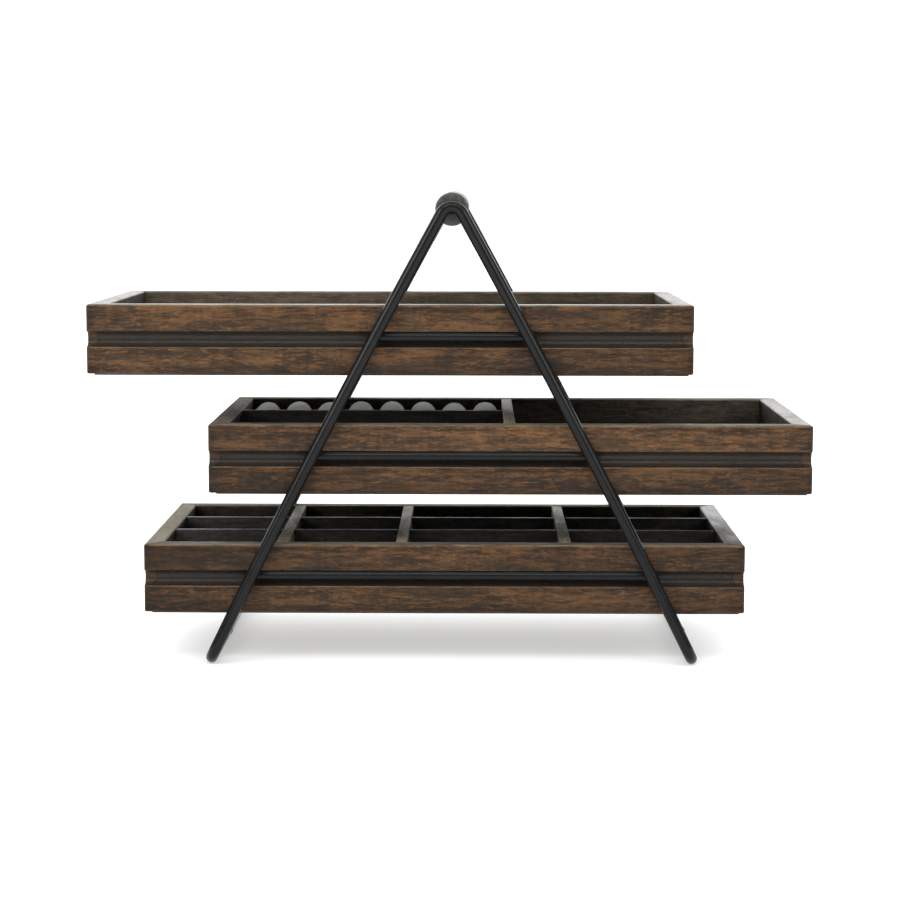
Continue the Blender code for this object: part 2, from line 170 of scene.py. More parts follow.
# ------------------------------------------------------------------ materials
def wood(name, dark, mid, light, ember, wear_colour, rough=(0.34, 0.50), groove_colour=(0.024, 0.021, 0.018),
         inner_gain=0.40, contrast=1.0, pore_dark=0.45, spec=0.16, ember_gain=0.7, sheen=0.0, sheen_tint=(1, 1, 1)):
    """Open-grained hardwood under a dark stain and satin lacquer.

    'gr' holds board coordinates in mm: x with the grain, y and z across it, moved apart board by board.
    'wz' holds the wear of the eased edges, the depth in the groove and the inner faces.
    'bt' is each board's own tone, with painted shade multiplied in."""
    s = Shader(name)
    gr = s.attribute("gr")
    wear, groove, inner = s.parts(s.attribute("wz"))
    tone = s.attribute("bt", "Fac")
    # slow wander of the grain, so that the streaks aren't ruled lines
    wander = s.noise(s.stretch(gr, (0.012, 0.03, 0.03)), 1.0, 2.0, 0.5)
    lift = s.node("CombineXYZ", {0: 0.0, 1: s.math("MULTIPLY", s.math("SUBTRACT", wander, 0.5), 22.0), 2: 0.0}).outputs[0]
    g = s.node("VectorMath", {0: gr, 1: lift}, operation="ADD").outputs[0]

    broad = s.noise(s.stretch(g, (0.009, 0.050, 0.050)), 1.0, 3.0, 0.55, 0.3)
    streak = s.noise(s.stretch(g, (0.042, 0.40, 0.40)), 1.0, 5.0, 0.62, 0.5)
    fibre = s.noise(s.stretch(g, (0.16, 1.9, 1.9)), 1.0, 3.0, 0.6)
    fleck = s.noise(s.stretch(g, (0.17, 0.80, 0.80), (7, 3, 1)), 1.0, 4.0, 0.66, 0.8)
    dash = s.noise(s.stretch(g, (0.24, 1.15, 1.15), (17, 31, 12)), 1.0, 3.0, 0.60, 0.5)
    pore = s.noise(s.stretch(g, (0.30, 2.8, 2.8), (2, 9, 4)), 1.0, 2.0, 0.5)
    figure = s.noise(s.stretch(g, (0.33, 0.05, 0.05), (1, 5, 8)), 1.0, 3.0, 0.55, 0.6)
    patch = s.noise(s.stretch(g, (0.022, 0.080, 0.080), (13, 2, 6)), 1.0, 3.0, 0.55, 0.8)

    value = 0.5
    for layer, amount in ((streak, 1.20), (broad, 0.75), (fleck, 0.80), (fibre, 0.35), (figure, 0.30)):
        value = s.math("ADD", value, s.math("MULTIPLY", s.math("SUBTRACT", layer, 0.5), amount * contrast))
    colour = s.ramp(value, [(0.28, dark), (0.50, mid), (0.70, light)], "B_SPLINE")
    # warm flecks where the stain took less
    colour = s.mix(s.math("MULTIPLY", s.span(fleck, 0.54, 0.72), ember_gain), colour, ember)
    # short dark dashes, and cool dark patches where the stain pooled
    colour = s.mix(s.math("MULTIPLY", s.span(dash, 0.54, 0.72), 0.50), colour, dark)
    colour = s.mix(s.math("MULTIPLY", s.span(patch, 0.53, 0.66), 0.55), colour, s.mix(0.35, dark, mid))
    # pores: fine dark ticks
    pores = s.span(pore, 0.60, 0.68)
    colour = s.mix(s.math("MULTIPLY", pores, pore_dark), colour, s.mix(1.0, dark, (0.45, 0.45, 0.45), "MULTIPLY"))
    # each board's tone, with the painted shade of its corners, lower edge and inner faces, multiplies the colour
    colour = s.mix(1.0, colour, s.node("CombineColor", {0: tone, 1: tone, 2: tone}).outputs[0], "MULTIPLY")
    # inner faces darkened: partly a heavier coat, partly painted shade
    colour = s.mix(inner, colour, s.mix(1.0, colour, (inner_gain, inner_gain * 0.98, inner_gain * 0.97), "MULTIPLY"))
    # the groove is nearly black, with a little brown left
    colour = s.mix(s.math("MULTIPLY", groove, 0.90), colour, groove_colour)
    # rubbed edges, broken up along the board; on the tray boards partly painted highlight
    rub = s.noise(s.stretch(gr, (0.07, 0.5, 0.5), (5, 5, 5)), 1.0, 4.0, 0.65)
    rubbed = s.math("MULTIPLY", wear, s.span(rub, 0.34, 0.62, 0.15, 0.95), clamp=True)
    colour = s.mix(s.math("MULTIPLY", rubbed, 0.85), colour, wear_colour)

    smear = s.noise(s.stretch(gr, (0.03, 0.09, 0.09), (3, 3, 9)), 1.0, 3.0, 0.6)
    r = s.span(smear, 0.3, 0.7, rough[0], rough[1])
    r = s.math("ADD", r, s.math("MULTIPLY", pores, 0.18), clamp=True)
    r = s.math("ADD", r, s.math("MULTIPLY", rubbed, 0.06), clamp=True)

    height = s.math("ADD", s.math("MULTIPLY", fibre, 0.5), s.math("MULTIPLY", streak, 0.35))
    height = s.math("SUBTRACT", height, s.math("MULTIPLY", pores, 0.55))
    normal = s.bump(height, 0.00016, 0.55)
    return s.set(color=colour, rough=r, normal=normal, spec=spec, sheen=sheen, sheen_rough=0.40, sheen_tint=sheen_tint)


WALNUT = dict(dark=(0.0255, 0.0175, 0.0115), mid=(0.065, 0.0362, 0.0180), light=(0.149, 0.0735, 0.0295),
              ember=(0.223, 0.090, 0.0290))
STAINED = wood("stained_walnut_fine", wear_colour=(0.23, 0.155, 0.100), **WALNUT)
GROOVE = wood("stained_groove_fine", wear_colour=(0.17, 0.115, 0.075), rough=(0.24, 0.32), spec=0.22, contrast=0.8, **WALNUT)
# Rim tops: light olive colours stand for the grazing reflection of the bright backdrop, painted reflection. Lit and
# shaded copies follow how much light each rim catches: the full one on the top tray and the right ends, a shaded one on
# the covered front and back rims, and one for each lower tray's left end.
RIM_PAINTED_REFLECTION = wood("stained_rim_painted_reflection_fine", dark=(0.052, 0.045, 0.034), mid=(0.108, 0.093, 0.069), light=(0.168, 0.143, 0.104),
           ember=(0.180, 0.142, 0.095), wear_colour=(0.22, 0.19, 0.145), contrast=0.8, ember_gain=0.4, rough=(0.26, 0.42), spec=0.2)
RIM_PAINTED_REFLECTION_TONES = dict(dark=(0.058, 0.050, 0.036), mid=(0.122, 0.106, 0.077), light=(0.190, 0.163, 0.117),
             ember=(0.200, 0.155, 0.101), wear_colour=(0.22, 0.19, 0.135), contrast=0.9, ember_gain=0.5, rough=(0.52, 0.66))
RIM_SHADED_PAINTED_COPY = wood("rim_shaded_painted_copy_fine", spec=0.07, **RIM_PAINTED_REFLECTION_TONES)
RIM_MIDDLE_PAINTED_COPY = wood("rim_middle_painted_reflection_fine", spec=0.02, sheen=0.06, sheen_tint=(0.95, 0.84, 0.60), **RIM_PAINTED_REFLECTION_TONES)
RIM_BOTTOM_PAINTED_COPY = wood("rim_bottom_painted_reflection_fine", spec=0.02, sheen=0.32, sheen_tint=(0.95, 0.88, 0.70), **RIM_PAINTED_REFLECTION_TONES)
# Inner faces: a darker, greyer stain that also carries painted shade; the lighter copy is for the top tray's front and
# back boards, and the darker copy, with heavier painted shade, is for the rest
INNER_TOP = wood("stained_inner_fine", dark=(0.046, 0.038, 0.029), mid=(0.100, 0.077, 0.056), light=(0.155, 0.113, 0.077),
                 ember=(0.185, 0.118, 0.068), wear_colour=(0.16, 0.125, 0.095), contrast=0.75, ember_gain=0.5)
INNER_PAINTED_SHADE = wood("stained_inner_painted_shade_fine", dark=(0.016, 0.0138, 0.0116), mid=(0.042, 0.0350, 0.0280), light=(0.072, 0.056, 0.042),
                  ember=(0.085, 0.058, 0.038), wear_colour=(0.12, 0.095, 0.070), contrast=0.75, ember_gain=0.4, rough=(0.58, 0.72), spec=0.10)
# Thick dividers: a light olive stain, lightened further to stand for the grazing reflection on their tops, painted
# reflection
DIVIDER_THICK = wood("stained_divider_painted_reflection_fine", dark=(0.061, 0.052, 0.038), mid=(0.158, 0.134, 0.092), light=(0.260, 0.215, 0.140),
                     ember=(0.260, 0.192, 0.107), wear_colour=(0.24, 0.20, 0.145), contrast=0.7, rough=(0.46, 0.60), spec=0.10)
DIVIDER_THIN = wood("black_divider_fine", dark=(0.020, 0.0194, 0.0184), mid=(0.041, 0.0392, 0.0360), light=(0.068, 0.0640, 0.0565),
                    ember=(0.071, 0.060, 0.048), wear_colour=(0.095, 0.088, 0.076), contrast=0.7, rough=(0.40, 0.55))
PANEL = wood("base_board_fine", dark=(0.016, 0.013, 0.010), mid=(0.042, 0.029, 0.020), light=(0.075, 0.050, 0.032),
             ember=(0.085, 0.050, 0.028), wear_colour=(0.11, 0.085, 0.060), rough=(0.48, 0.62))
DOWEL = wood("dowel_black_stain_fine", dark=(0.018, 0.017, 0.015), mid=(0.044, 0.042, 0.038), light=(0.070, 0.066, 0.058),
             ember=(0.062, 0.055, 0.045), wear_colour=(0.085, 0.080, 0.072), contrast=0.6, rough=(0.32, 0.44), spec=0.22)


def powder_coat(name, rubbed=0.0, base=(0.0052, 0.0055, 0.0060), gloss=0.18, rough=(0.13, 0.18)):
    """Satin black powder coat with its orange peel; rubbed adds the polished track of a sliding tray."""
    s = Shader(name)
    at = s.node("TexCoord").outputs["Object"]
    peel = s.noise(at, 1150.0, 2.0, 0.5)
    grit = s.noise(at, 5200.0, 2.0, 0.6)
    cloud = s.noise(at, 46.0, 4.0, 0.6)
    colour = s.mix(s.span(cloud, 0.3, 0.7), tuple(0.82 * c for c in base), tuple(1.25 * c for c in base))
    colour = s.mix(s.math("MULTIPLY", s.span(grit, 0.62, 0.75), 0.35), colour, tuple(2.1 * c for c in base))
    r = s.span(cloud, 0.25, 0.75, *rough)
    r = s.math("ADD", r, s.math("MULTIPLY", grit, 0.06), clamp=True)
    if rubbed:
        track = s.math("MULTIPLY", s.attribute("rub", "Fac"), rubbed)
        lines = s.noise(s.stretch(at, (25.0, 5200.0, 5200.0)), 1.0, 3.0, 0.6)
        track = s.math("MULTIPLY", track, s.span(lines, 0.35, 0.65, 0.2, 1.0), clamp=True)
        colour = s.mix(track, colour, (0.075, 0.077, 0.080))
        r = s.math("SUBTRACT", r, s.math("MULTIPLY", track, 0.10), clamp=True)
    n = s.bump(peel, 0.00007, 0.5)
    n = s.bump(grit, 0.00002, 0.4, n)
    return s.set(color=colour, rough=r, normal=n, spec=gloss)


STEEL = powder_coat("black_powder_coat_fine")
RAIL = powder_coat("rail_powder_coat_fine", 0.8, gloss=0.17, rough=(0.20, 0.28))


def weld_material():
    s = Shader("coated_weld_fine")
    at = s.node("TexCoord").outputs["Object"]
    ripple = s.noise(at, 900.0, 3.0, 0.6, 0.4)
    cloud = s.noise(at, 160.0, 3.0, 0.6)
    colour = s.mix(s.span(cloud, 0.3, 0.7), (0.009, 0.0095, 0.0105), (0.018, 0.019, 0.021))
    return s.set(color=colour, rough=s.span(ripple, 0.3, 0.7, 0.34, 0.5), normal=s.bump(ripple, 0.0002, 0.6), spec=0.5)


WELD = weld_material()


def felt(name, dark, light, tuft, sheen, fuzz_scale=1.0, use_nap=True):
    """Pressed wool felt: matted fibres lying every way, small tufts, a soft nap."""
    s = Shader(name)
    at = s.node("TexCoord").outputs["Object"]
    ways = []
    for i, (x, y, z) in enumerate(((900, 3800, 3800), (3600, 1000, 3600), (2600, 2600, 900))):
        turn = s.node("Mapping", {"Vector": at, "Rotation": (0.3 * i, 0.5 - 0.4 * i, 0.7 * i + 0.2)}).outputs[0]
        ways.append(s.noise(s.stretch(turn, (x * fuzz_scale, y * fuzz_scale, z * fuzz_scale)), 1.0, 3.0, 0.62, 0.35))
    mat = s.math("MAXIMUM", s.math("MAXIMUM", ways[0], ways[1]), ways[2])
    clump = s.noise(at, 620.0 * fuzz_scale, 4.0, 0.6, 0.3)
    cloud = s.noise(at, 55.0, 3.0, 0.55)
    value = s.math("ADD", s.math("MULTIPLY", mat, 0.6), s.math("MULTIPLY", clump, 0.4))
    colour = s.mix(s.span(value, 0.42, 0.72), dark, light)
    colour = s.mix(s.math("MULTIPLY", s.span(ways[1], 0.66, 0.78), 0.6), colour, tuft)
    colour = s.mix(s.span(cloud, 0.3, 0.7, 0.0, 0.35), colour, s.mix(1.0, colour, (0.82, 0.82, 0.82), "MULTIPLY"))
    n = s.bump(clump, 0.00030, 0.6)
    n = s.bump(mat, 0.00014, 0.9, n)
    s.set(color=colour, rough=s.span(mat, 0.4, 0.8, 0.82, 0.98), normal=n, spec=0.25)
    return s.set(sheen=sheen, sheen_rough=0.45, sheen_tint=(0.9, 0.9, 0.88))


BLACK_FELT = felt("black_felt_fine", (0.006, 0.006, 0.0065), (0.016, 0.016, 0.017), (0.035, 0.035, 0.036), 0.10)
GREY_FELT = felt("grey_felt_fine", (0.228, 0.229, 0.190), (0.358, 0.354, 0.293), (0.450, 0.442, 0.368), 0.35)
PAD_BASE = felt("grey_felt_base_fine", (0.10, 0.10, 0.09), (0.17, 0.168, 0.15), (0.24, 0.235, 0.21), 0.15)


# ------------------------------------------------------------------ mesh helpers
def finished(name, verts_mm, faces, mat, body, replaces=(), smooth=True, sharp=38, at=(0, 0, 0), recalc=True):
    """A mesh object from points in mm, in the row frame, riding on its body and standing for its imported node."""
    mesh = bpy.data.meshes.new(name)
    pts = (np.asarray(verts_mm, float) + np.asarray(at, float)) * MM
    mesh.from_pydata(pts.tolist(), [], [tuple(int(i) for i in f) for f in faces])
    mesh.validate(clean_customdata=False)
    if recalc:
        bm = bmesh.new()
        bm.from_mesh(mesh)
        bmesh.ops.recalc_face_normals(bm, faces=bm.faces[:])
        bm.to_mesh(mesh)
        bm.free()
    if smooth:
        mesh.shade_smooth()
        mesh.set_sharp_from_angle(angle=math.radians(sharp))
    return dressed(name, mesh, mat, body, replaces)


def dressed(name, mesh, mat, body, replaces=()):
    if mat is not None:
        mesh.materials.clear()
        mesh.materials.append(mat)
    mesh.name = name
    ob = bpy.data.objects.new(name, mesh)
    scene.collection.objects.link(ob)
    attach(ob, body)
    if replaces:
        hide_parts(*replaces)
    return ob


def coords_mm(mesh):
    co = np.empty(len(mesh.vertices) * 3)
    mesh.vertices.foreach_get("co", co)
    return co.reshape(-1, 3) / MM


def vector_layer(mesh, name, values):
    layer = mesh.attributes.new(name, "FLOAT_VECTOR", "POINT")
    layer.data.foreach_set("vector", np.asarray(values, np.float32).ravel())


def float_layer(mesh, name, values):
    layer = mesh.attributes.new(name, "FLOAT", "POINT")
    layer.data.foreach_set("value", np.asarray(values, np.float32).ravel())


def wobble(points, scale, seed=0.0):
    """Smooth noise, about -1 to 1, at each point."""
    return np.array([noise.noise(Vector((p[0] * scale + seed, p[1] * scale - seed, p[2] * scale + 0.5 * seed))) for p in points])


def evaluated(ob):
    bpy.context.view_layer.update()
    graph = bpy.context.evaluated_depsgraph_get()
    mesh = bpy.data.meshes.new_from_object(ob.evaluated_get(graph))
    return mesh


def remove(ob):
    data = ob.data
    bpy.data.objects.remove(ob, do_unlink=True)
    if data and data.users == 0:
        bpy.data.meshes.remove(data)


# ------------------------------------------------------------------ tray boards
PLAN_R = 1.5  # upright corner of a tray
COVE = 3.9    # the groove is run with a round-nosed cutter
GROOVED = [  # (depth from the outer face, height, radius)
    (0, Z_WALL, 1.0), (0, GROOVE_LO, 0.75), (GROOVE_DEPTH, GROOVE_LO, COVE), (GROOVE_DEPTH, GROOVE_HI, COVE),
    (0, GROOVE_HI, 0.75), (0, H, 1.35), (WALL, H, 1.1), (WALL, FLOOR, 0.3), (REBATE, FLOOR, 0.25), (REBATE, Z_WALL, 0.5)]
PLAIN = [(0, Z_WALL, 1.0), (0, H, 1.35), (WALL, H, 1.1), (WALL, FLOOR, 0.3), (REBATE, FLOOR, 0.25), (REBATE, Z_WALL, 0.5)]
EDGES = [(0, Z_WALL, 1.0), (0, H, 1.35), (WALL, H, 1.1)]
LIPS = [(0, GROOVE_LO, 0.75), (0, GROOVE_HI, 0.75)]
EDGE_RUB_AND_HIGHLIGHT = (0.15, 0.60, 0.80, 0.62, 0.22)  # how light each of those edges is coloured: partly stain rubbed off, partly painted highlight, more on the edges that face up


def outline(corners, seg=5):
    """Closed (d, z) outline whose corners are rounded, with each point's outward normal."""
    pts, n = [], len(corners)
    for i, (d, z, r) in enumerate(corners):
        p = np.array((d, z), float)
        u = np.array(corners[i - 1][:2], float) - p
        v = np.array(corners[(i + 1) % n][:2], float) - p
        u, v = u / np.linalg.norm(u), v / np.linalg.norm(v)
        c = p + (u + v) * r
        a0 = math.atan2(*(p + u * r - c)[::-1])
        a1 = math.atan2(*(p + v * r - c)[::-1])
        sweep = (a1 - a0 + math.pi) % (2 * math.pi) - math.pi
        count = seg if r < 2 else 2 * seg
        for k in range(count + 1):
            a = a0 + sweep * k / count
            pts.append(c + r * np.array((math.cos(a), math.sin(a))))
    # extra points on long straight runs
    out = []
    for i, p in enumerate(pts):
        q = pts[(i + 1) % len(pts)]
        out.append(p)
        gap = np.linalg.norm(q - p)
        for k in range(1, int(gap // 3.2)):
            out.append(p + (q - p) * k / int(gap // 3.2))
    out = np.array(out)
    before, after = np.roll(out, 1, 0), np.roll(out, -1, 0)
    t = after - before
    normals = np.stack([t[:, 1], -t[:, 0]], 1)
    area = 0.5 * np.sum(out[:, 0] * after[:, 1] - after[:, 0] * out[:, 1])
    normals *= (1 if area > 0 else -1) / np.linalg.norm(normals, axis=1)[:, None]
    return out, normals


def board_points(corners, half, steps=44, arcs=4, gap=0.06, ease=0.22):
    """A mitred board: its outline swept along the tray's rounded plan. Returns local points (a, d, z) and faces."""
    prof, normals = outline(corners)
    inset = prof - normals * ease
    rings = []
    for sign in (-1, 1):
        ends = []
        for k in range(1, arcs + 1):
            th = math.radians(45) * k / arcs
            ring = []
            for d, z in prof:
                if d <= PLAN_R:
                    a = half - PLAN_R + (PLAN_R - d) * math.sin(th)
                    dd = PLAN_R - (PLAN_R - d) * math.cos(th)
                else:
                    a, dd = half - d - 0.5 + 0.5 * k / arcs, d
                if k == arcs:
                    a -= ease
                ring.append((sign * a, dd, z))
            ends.append(ring)
        cap = []
        for d, z in inset:
            if d <= PLAN_R:
                th = math.radians(45)
                a = half - PLAN_R + (PLAN_R - d) * math.sin(th)
                dd = PLAN_R - (PLAN_R - d) * math.cos(th)
            else:
                a, dd = half - d, d
            cap.append((sign * (a - gap), dd, z))
        ends.append(cap)
        rings.append(ends)
    middle = []
    near = [e / (half - PLAN_R) for e in (1.0, 2.2, 3.8)]
    us = [-1.0] + [-1 + e for e in near] + list(np.linspace(-1 + 5.5 / half, 1 - 5.5 / half, steps - 7)) + [1 - e for e in reversed(near)] + [1.0]
    for u in us:
        middle.append([(u * (half - PLAN_R if d <= PLAN_R else half - d - 0.5), d, z) for d, z in prof])
    order = list(reversed(rings[0])) + middle + rings[1]
    n = len(prof)
    pts = np.array(order, float).reshape(-1, 3)
    faces = []
    for r in range(len(order) - 1):
        for i in range(n):
            j = (i + 1) % n
            faces.append((r * n + i, r * n + j, (r + 1) * n + j, (r + 1) * n + i))
    faces.append(tuple(range(n)))
    faces.append(tuple(range((len(order) - 1) * n, len(order) * n)))
    return pts, faces, np.tile(normals, (len(order), 1))


def turned(points, side):
    """Board coordinates (a, d, z) to tray coordinates, for the wall on that side."""
    a, d, z = points[:, 0], points[:, 1], points[:, 2]
    if side == "front":
        return np.stack([a, -HD + d, z], 1)
    if side == "back":
        return np.stack([-a, HD - d, z], 1)
    if side == "right":
        return np.stack([HW - d, a, z], 1)
    return np.stack([-HW + d, -a, z], 1)


def unturned(points, side):
    x, y, z = points[:, 0], points[:, 1], points[:, 2]
    if side == "front":
        return np.stack([x, y + HD, z], 1)
    if side == "back":
        return np.stack([-x, HD - y, z], 1)
    if side == "right":
        return np.stack([y, HW - x, z], 1)
    return np.stack([-y, x + HW, z], 1)


# brightness of the front boards at the left, middle and right, multiplied into their colour: upper lip, then lower lip
RUNS = {"top": ((0.90, 0.86, 0.76), (1.00, 0.85, 0.69)),
        "middle": ((0.78, 1.12, 0.88), (0.66, 0.78, 0.73)),
        "bottom": ((0.55, 0.83, 0.60), (0.78, 0.84, 0.74))}


def board_layers(mesh, local, level, side, offset, tone):
    """Grain coordinates, wear, groove and inner masks, and tone with painted shade, from each point's place on its
    board.
    """
    a, d, z = local[:, 0], local[:, 1], local[:, 2]
    half = HW if side in ("front", "back") else HD
    long = side in ("front", "back")
    wear = np.zeros(len(a))
    for (ed, ez, r), rubbed in zip(EDGES + (LIPS if long else []), EDGE_RUB_AND_HIGHLIGHT):
        dist = np.hypot(d - ed, z - ez)
        wear = np.maximum(wear, rubbed * np.clip((1.0 * r - dist) / (0.55 * r), 0, 1))
    dist = np.hypot(half - np.abs(a), d)
    wear = np.maximum(wear * np.clip(dist / 3.0, 0.15, 1), 0.12 * np.clip((PLAN_R - dist) / (0.55 * PLAN_R), 0, 1))
    inside = (z > GROOVE_LO - 0.02) & (z < GROOVE_HI + 0.02)
    run = np.clip((half - np.abs(a) - 3.0) / 14.0, 0, 1)
    fade = 0.70 + 0.30 * run * run * (3 - 2 * run)      # the groove's dark colour eases off in its last 17 mm
    if long:
        groove = np.where(inside, np.clip((d - 0.15) / 0.5, 0, 1) * fade, 0.0)
    else:
        groove = np.where(inside & (np.abs(a) > half - GROOVE_DEPTH - 0.05) & (d < WALL - 1), 0.55, 0.0)
    inner = np.zeros(len(a))
    # painted shade on the upright corners and along the lower edge
    body = (z < H - 0.9) & (d < WALL - 0.8)
    shade = np.where(body, (1 - 0.56 * np.exp(-np.maximum(half - np.abs(a), 0) / 2.4)) *
                     (1 - 0.22 * np.exp(-np.maximum(half - np.abs(a), 0) / 10.0)), 1.0)
    shade *= np.where(body, 1 - 0.45 * np.clip((6.5 - z) / 5.0, 0, 1), 1.0)
    if side == "front":
        upper, lower = (np.interp(a, (-125, -10, 125), run3) for run3 in RUNS[level])
        shade *= np.where(body, np.where(z > (GROOVE_LO + GROOVE_HI) / 2, upper, lower), 1.0)
    within = (d > WALL - 0.8) & (z < H - 0.9)
    # darker towards the right on the inner face of the top tray's back board
    if (level, side) == ("top", "back"):
        shade *= np.where(within, np.interp(-a, (-70, 110), (1.03, 0.66)), 1.0)
    # the middle tray's back board is 1.4 times lighter on its inner face, with less painted shade there
    if (level, side) == ("middle", "back"):
        shade *= np.where(within, 1.40, 1.0)
    vector_layer(mesh, "wz", np.stack([wear, groove, inner], 1))
    vector_layer(mesh, "gr", np.stack([a + offset, d * 0.9 + offset * 0.37, z + offset * 0.71], 1))
    float_layer(mesh, "bt", tone * shade)


def face_materials(mesh, local):
    """The groove's own faces take the second material, the inner faces the third and the rim's top the fourth."""
    layer = mesh.attributes["wz"].data
    for poly in mesh.polygons:
        if all(layer[v].vector[1] > 0.2 for v in poly.vertices):
            poly.material_index = 1
        elif all(local[v][1] > WALL - 0.5 and local[v][2] < H - 0.5 for v in poly.vertices):
            poly.material_index = 2
        elif all(local[v][2] > H - 0.75 and 0.3 < local[v][1] < WALL - 0.2 for v in poly.vertices):
            poly.material_index = 3


def groove_cutter(sign):
    """The groove as a bar with flared lips, to run it out through the side boards."""
    r, far = 0.75, 6.0
    sec = []
    for k in range(6):  # upper lip
        t = math.radians(90) * k / 5
        sec.append((r - r * math.sin(t), GROOVE_HI + r - r * math.cos(t)))
    upper = [(-far, GROOVE_HI + r)] + list(reversed(sec))
    lower = [(d, GROOVE_HI + GROOVE_LO - z) for d, z in reversed(upper)]
    cove = []
    for k in range(11):
        t = math.radians(9 * k)
        cove.append((GROOVE_DEPTH - COVE + COVE * math.sin(t), GROOVE_HI - COVE + COVE * math.cos(t)))
    cove += [(d, GROOVE_HI + GROOVE_LO - z) for d, z in reversed(cove)]
    ring = upper + cove + lower
    ring = [(d, z) for d, z in ring]
    n = len(ring)
    pts = []
    for x in (-HW - 15, HW + 15):
        for d, z in ring:
            pts.append((x, sign * (HD - d), z))
    faces = [(i, (i + 1) % n, n + (i + 1) % n, n + i) for i in range(n)]
    faces += [tuple(range(n)), tuple(range(n, 2 * n))]
    mesh = bpy.data.meshes.new("groove_run_out")
    mesh.from_pydata((np.array(pts) * MM).tolist(), [], faces)
    bm = bmesh.new()
    bm.from_mesh(mesh)
    bmesh.ops.recalc_face_normals(bm, faces=bm.faces[:])
    bm.to_mesh(mesh)
    bm.free()
    ob = bpy.data.objects.new("groove_run_out", mesh)
    scene.collection.objects.link(ob)
    return ob


CUTTERS = [groove_cutter(-1), groove_cutter(1)]
BOARDS = {"front": ("front_board", GROOVED, HW), "back": ("back_board", GROOVED, HW),
          "left": ("left_side", PLAIN, HD), "right": ("right_side", PLAIN, HD)}
TONES = {("top", "front"): 0.85, ("middle", "front"): 0.86, ("bottom", "front"): 0.84}


def build_board(level, side, serial):
    name, corners, half = BOARDS[side]
    pts, faces, normals = board_points(corners, half, 60 if half > 100 else 32)
    # hand-finished: the eased edges and faces aren't dead straight
    fade = np.clip((half - np.abs(pts[:, 0]) - 2.0) / 6.0, 0, 1)
    low = wobble(pts, 0.035, 3.1 * serial + 1.7)
    high = wobble(pts, 0.19, 5.3 * serial + 0.4)
    edge = np.zeros(len(pts))
    for ed, ez, r in EDGES + (LIPS if corners is GROOVED else []):
        edge = np.maximum(edge, np.clip((1.05 * r - np.hypot(pts[:, 1] - ed, pts[:, 2] - ez)) / (0.5 * r), 0, 1))
    push = fade * (0.035 * low + edge * (0.05 * high - 0.05))
    pts[:, 1] += push * normals[:, 0]
    pts[:, 2] += push * normals[:, 1]
    world = turned(pts, side)
    mesh = bpy.data.meshes.new("board")
    mesh.from_pydata((world * MM).tolist(), [], [tuple(int(i) for i in f) for f in faces])
    bm = bmesh.new()
    bm.from_mesh(mesh)
    bmesh.ops.recalc_face_normals(bm, faces=bm.faces[:])
    bm.to_mesh(mesh)
    bm.free()
    if corners is PLAIN:
        ob = bpy.data.objects.new("board", mesh)
        scene.collection.objects.link(ob)
        for tool in CUTTERS:
            mod = ob.modifiers.new("groove", "BOOLEAN")
            mod.operation, mod.solver, mod.object = "DIFFERENCE", "EXACT", tool
        cut = evaluated(ob)
        remove(ob)
        mesh = cut
    local = unturned(coords_mm(mesh), side)
    tone = TONES.get((level, side), 0.90 + 0.05 * ((serial * 7) % 5) / 4)
    board_layers(mesh, local, level, side, 137.0 * serial + 11.0, tone)
    mesh.materials.clear()
    mesh.materials.append(STAINED)
    mesh.materials.append(GROOVE)
    # inner faces take a copy with painted shade, the lighter one on the top tray's front and back boards
    mesh.materials.append(INNER_TOP if level == "top" and corners is GROOVED else INNER_PAINTED_SHADE)
    # rim tops: painted reflection, in the copy for how much light this rim catches
    left = {"top": RIM_PAINTED_REFLECTION, "middle": RIM_MIDDLE_PAINTED_COPY, "bottom": RIM_BOTTOM_PAINTED_COPY}[level]
    mesh.materials.append(RIM_PAINTED_REFLECTION if level == "top" or side == "right" else left if side == "left" else RIM_SHADED_PAINTED_COPY)
    face_materials(mesh, local)
    shift = Vector((TRAY_X[level], 0, TOPS[level] - H)) * MM
    mesh.transform(Matrix.Translation(shift))
    mesh.shade_smooth()
    mesh.set_sharp_from_angle(angle=math.radians(36))
    return dressed(f"{level}_{name}_fine", mesh, None, f"{level}_tray", [f"{level}_{name}"])


serial = 0
for level in TOPS:
    for side in BOARDS:
        serial += 1
        build_board(level, side, serial)
for tool in CUTTERS:
    remove(tool)


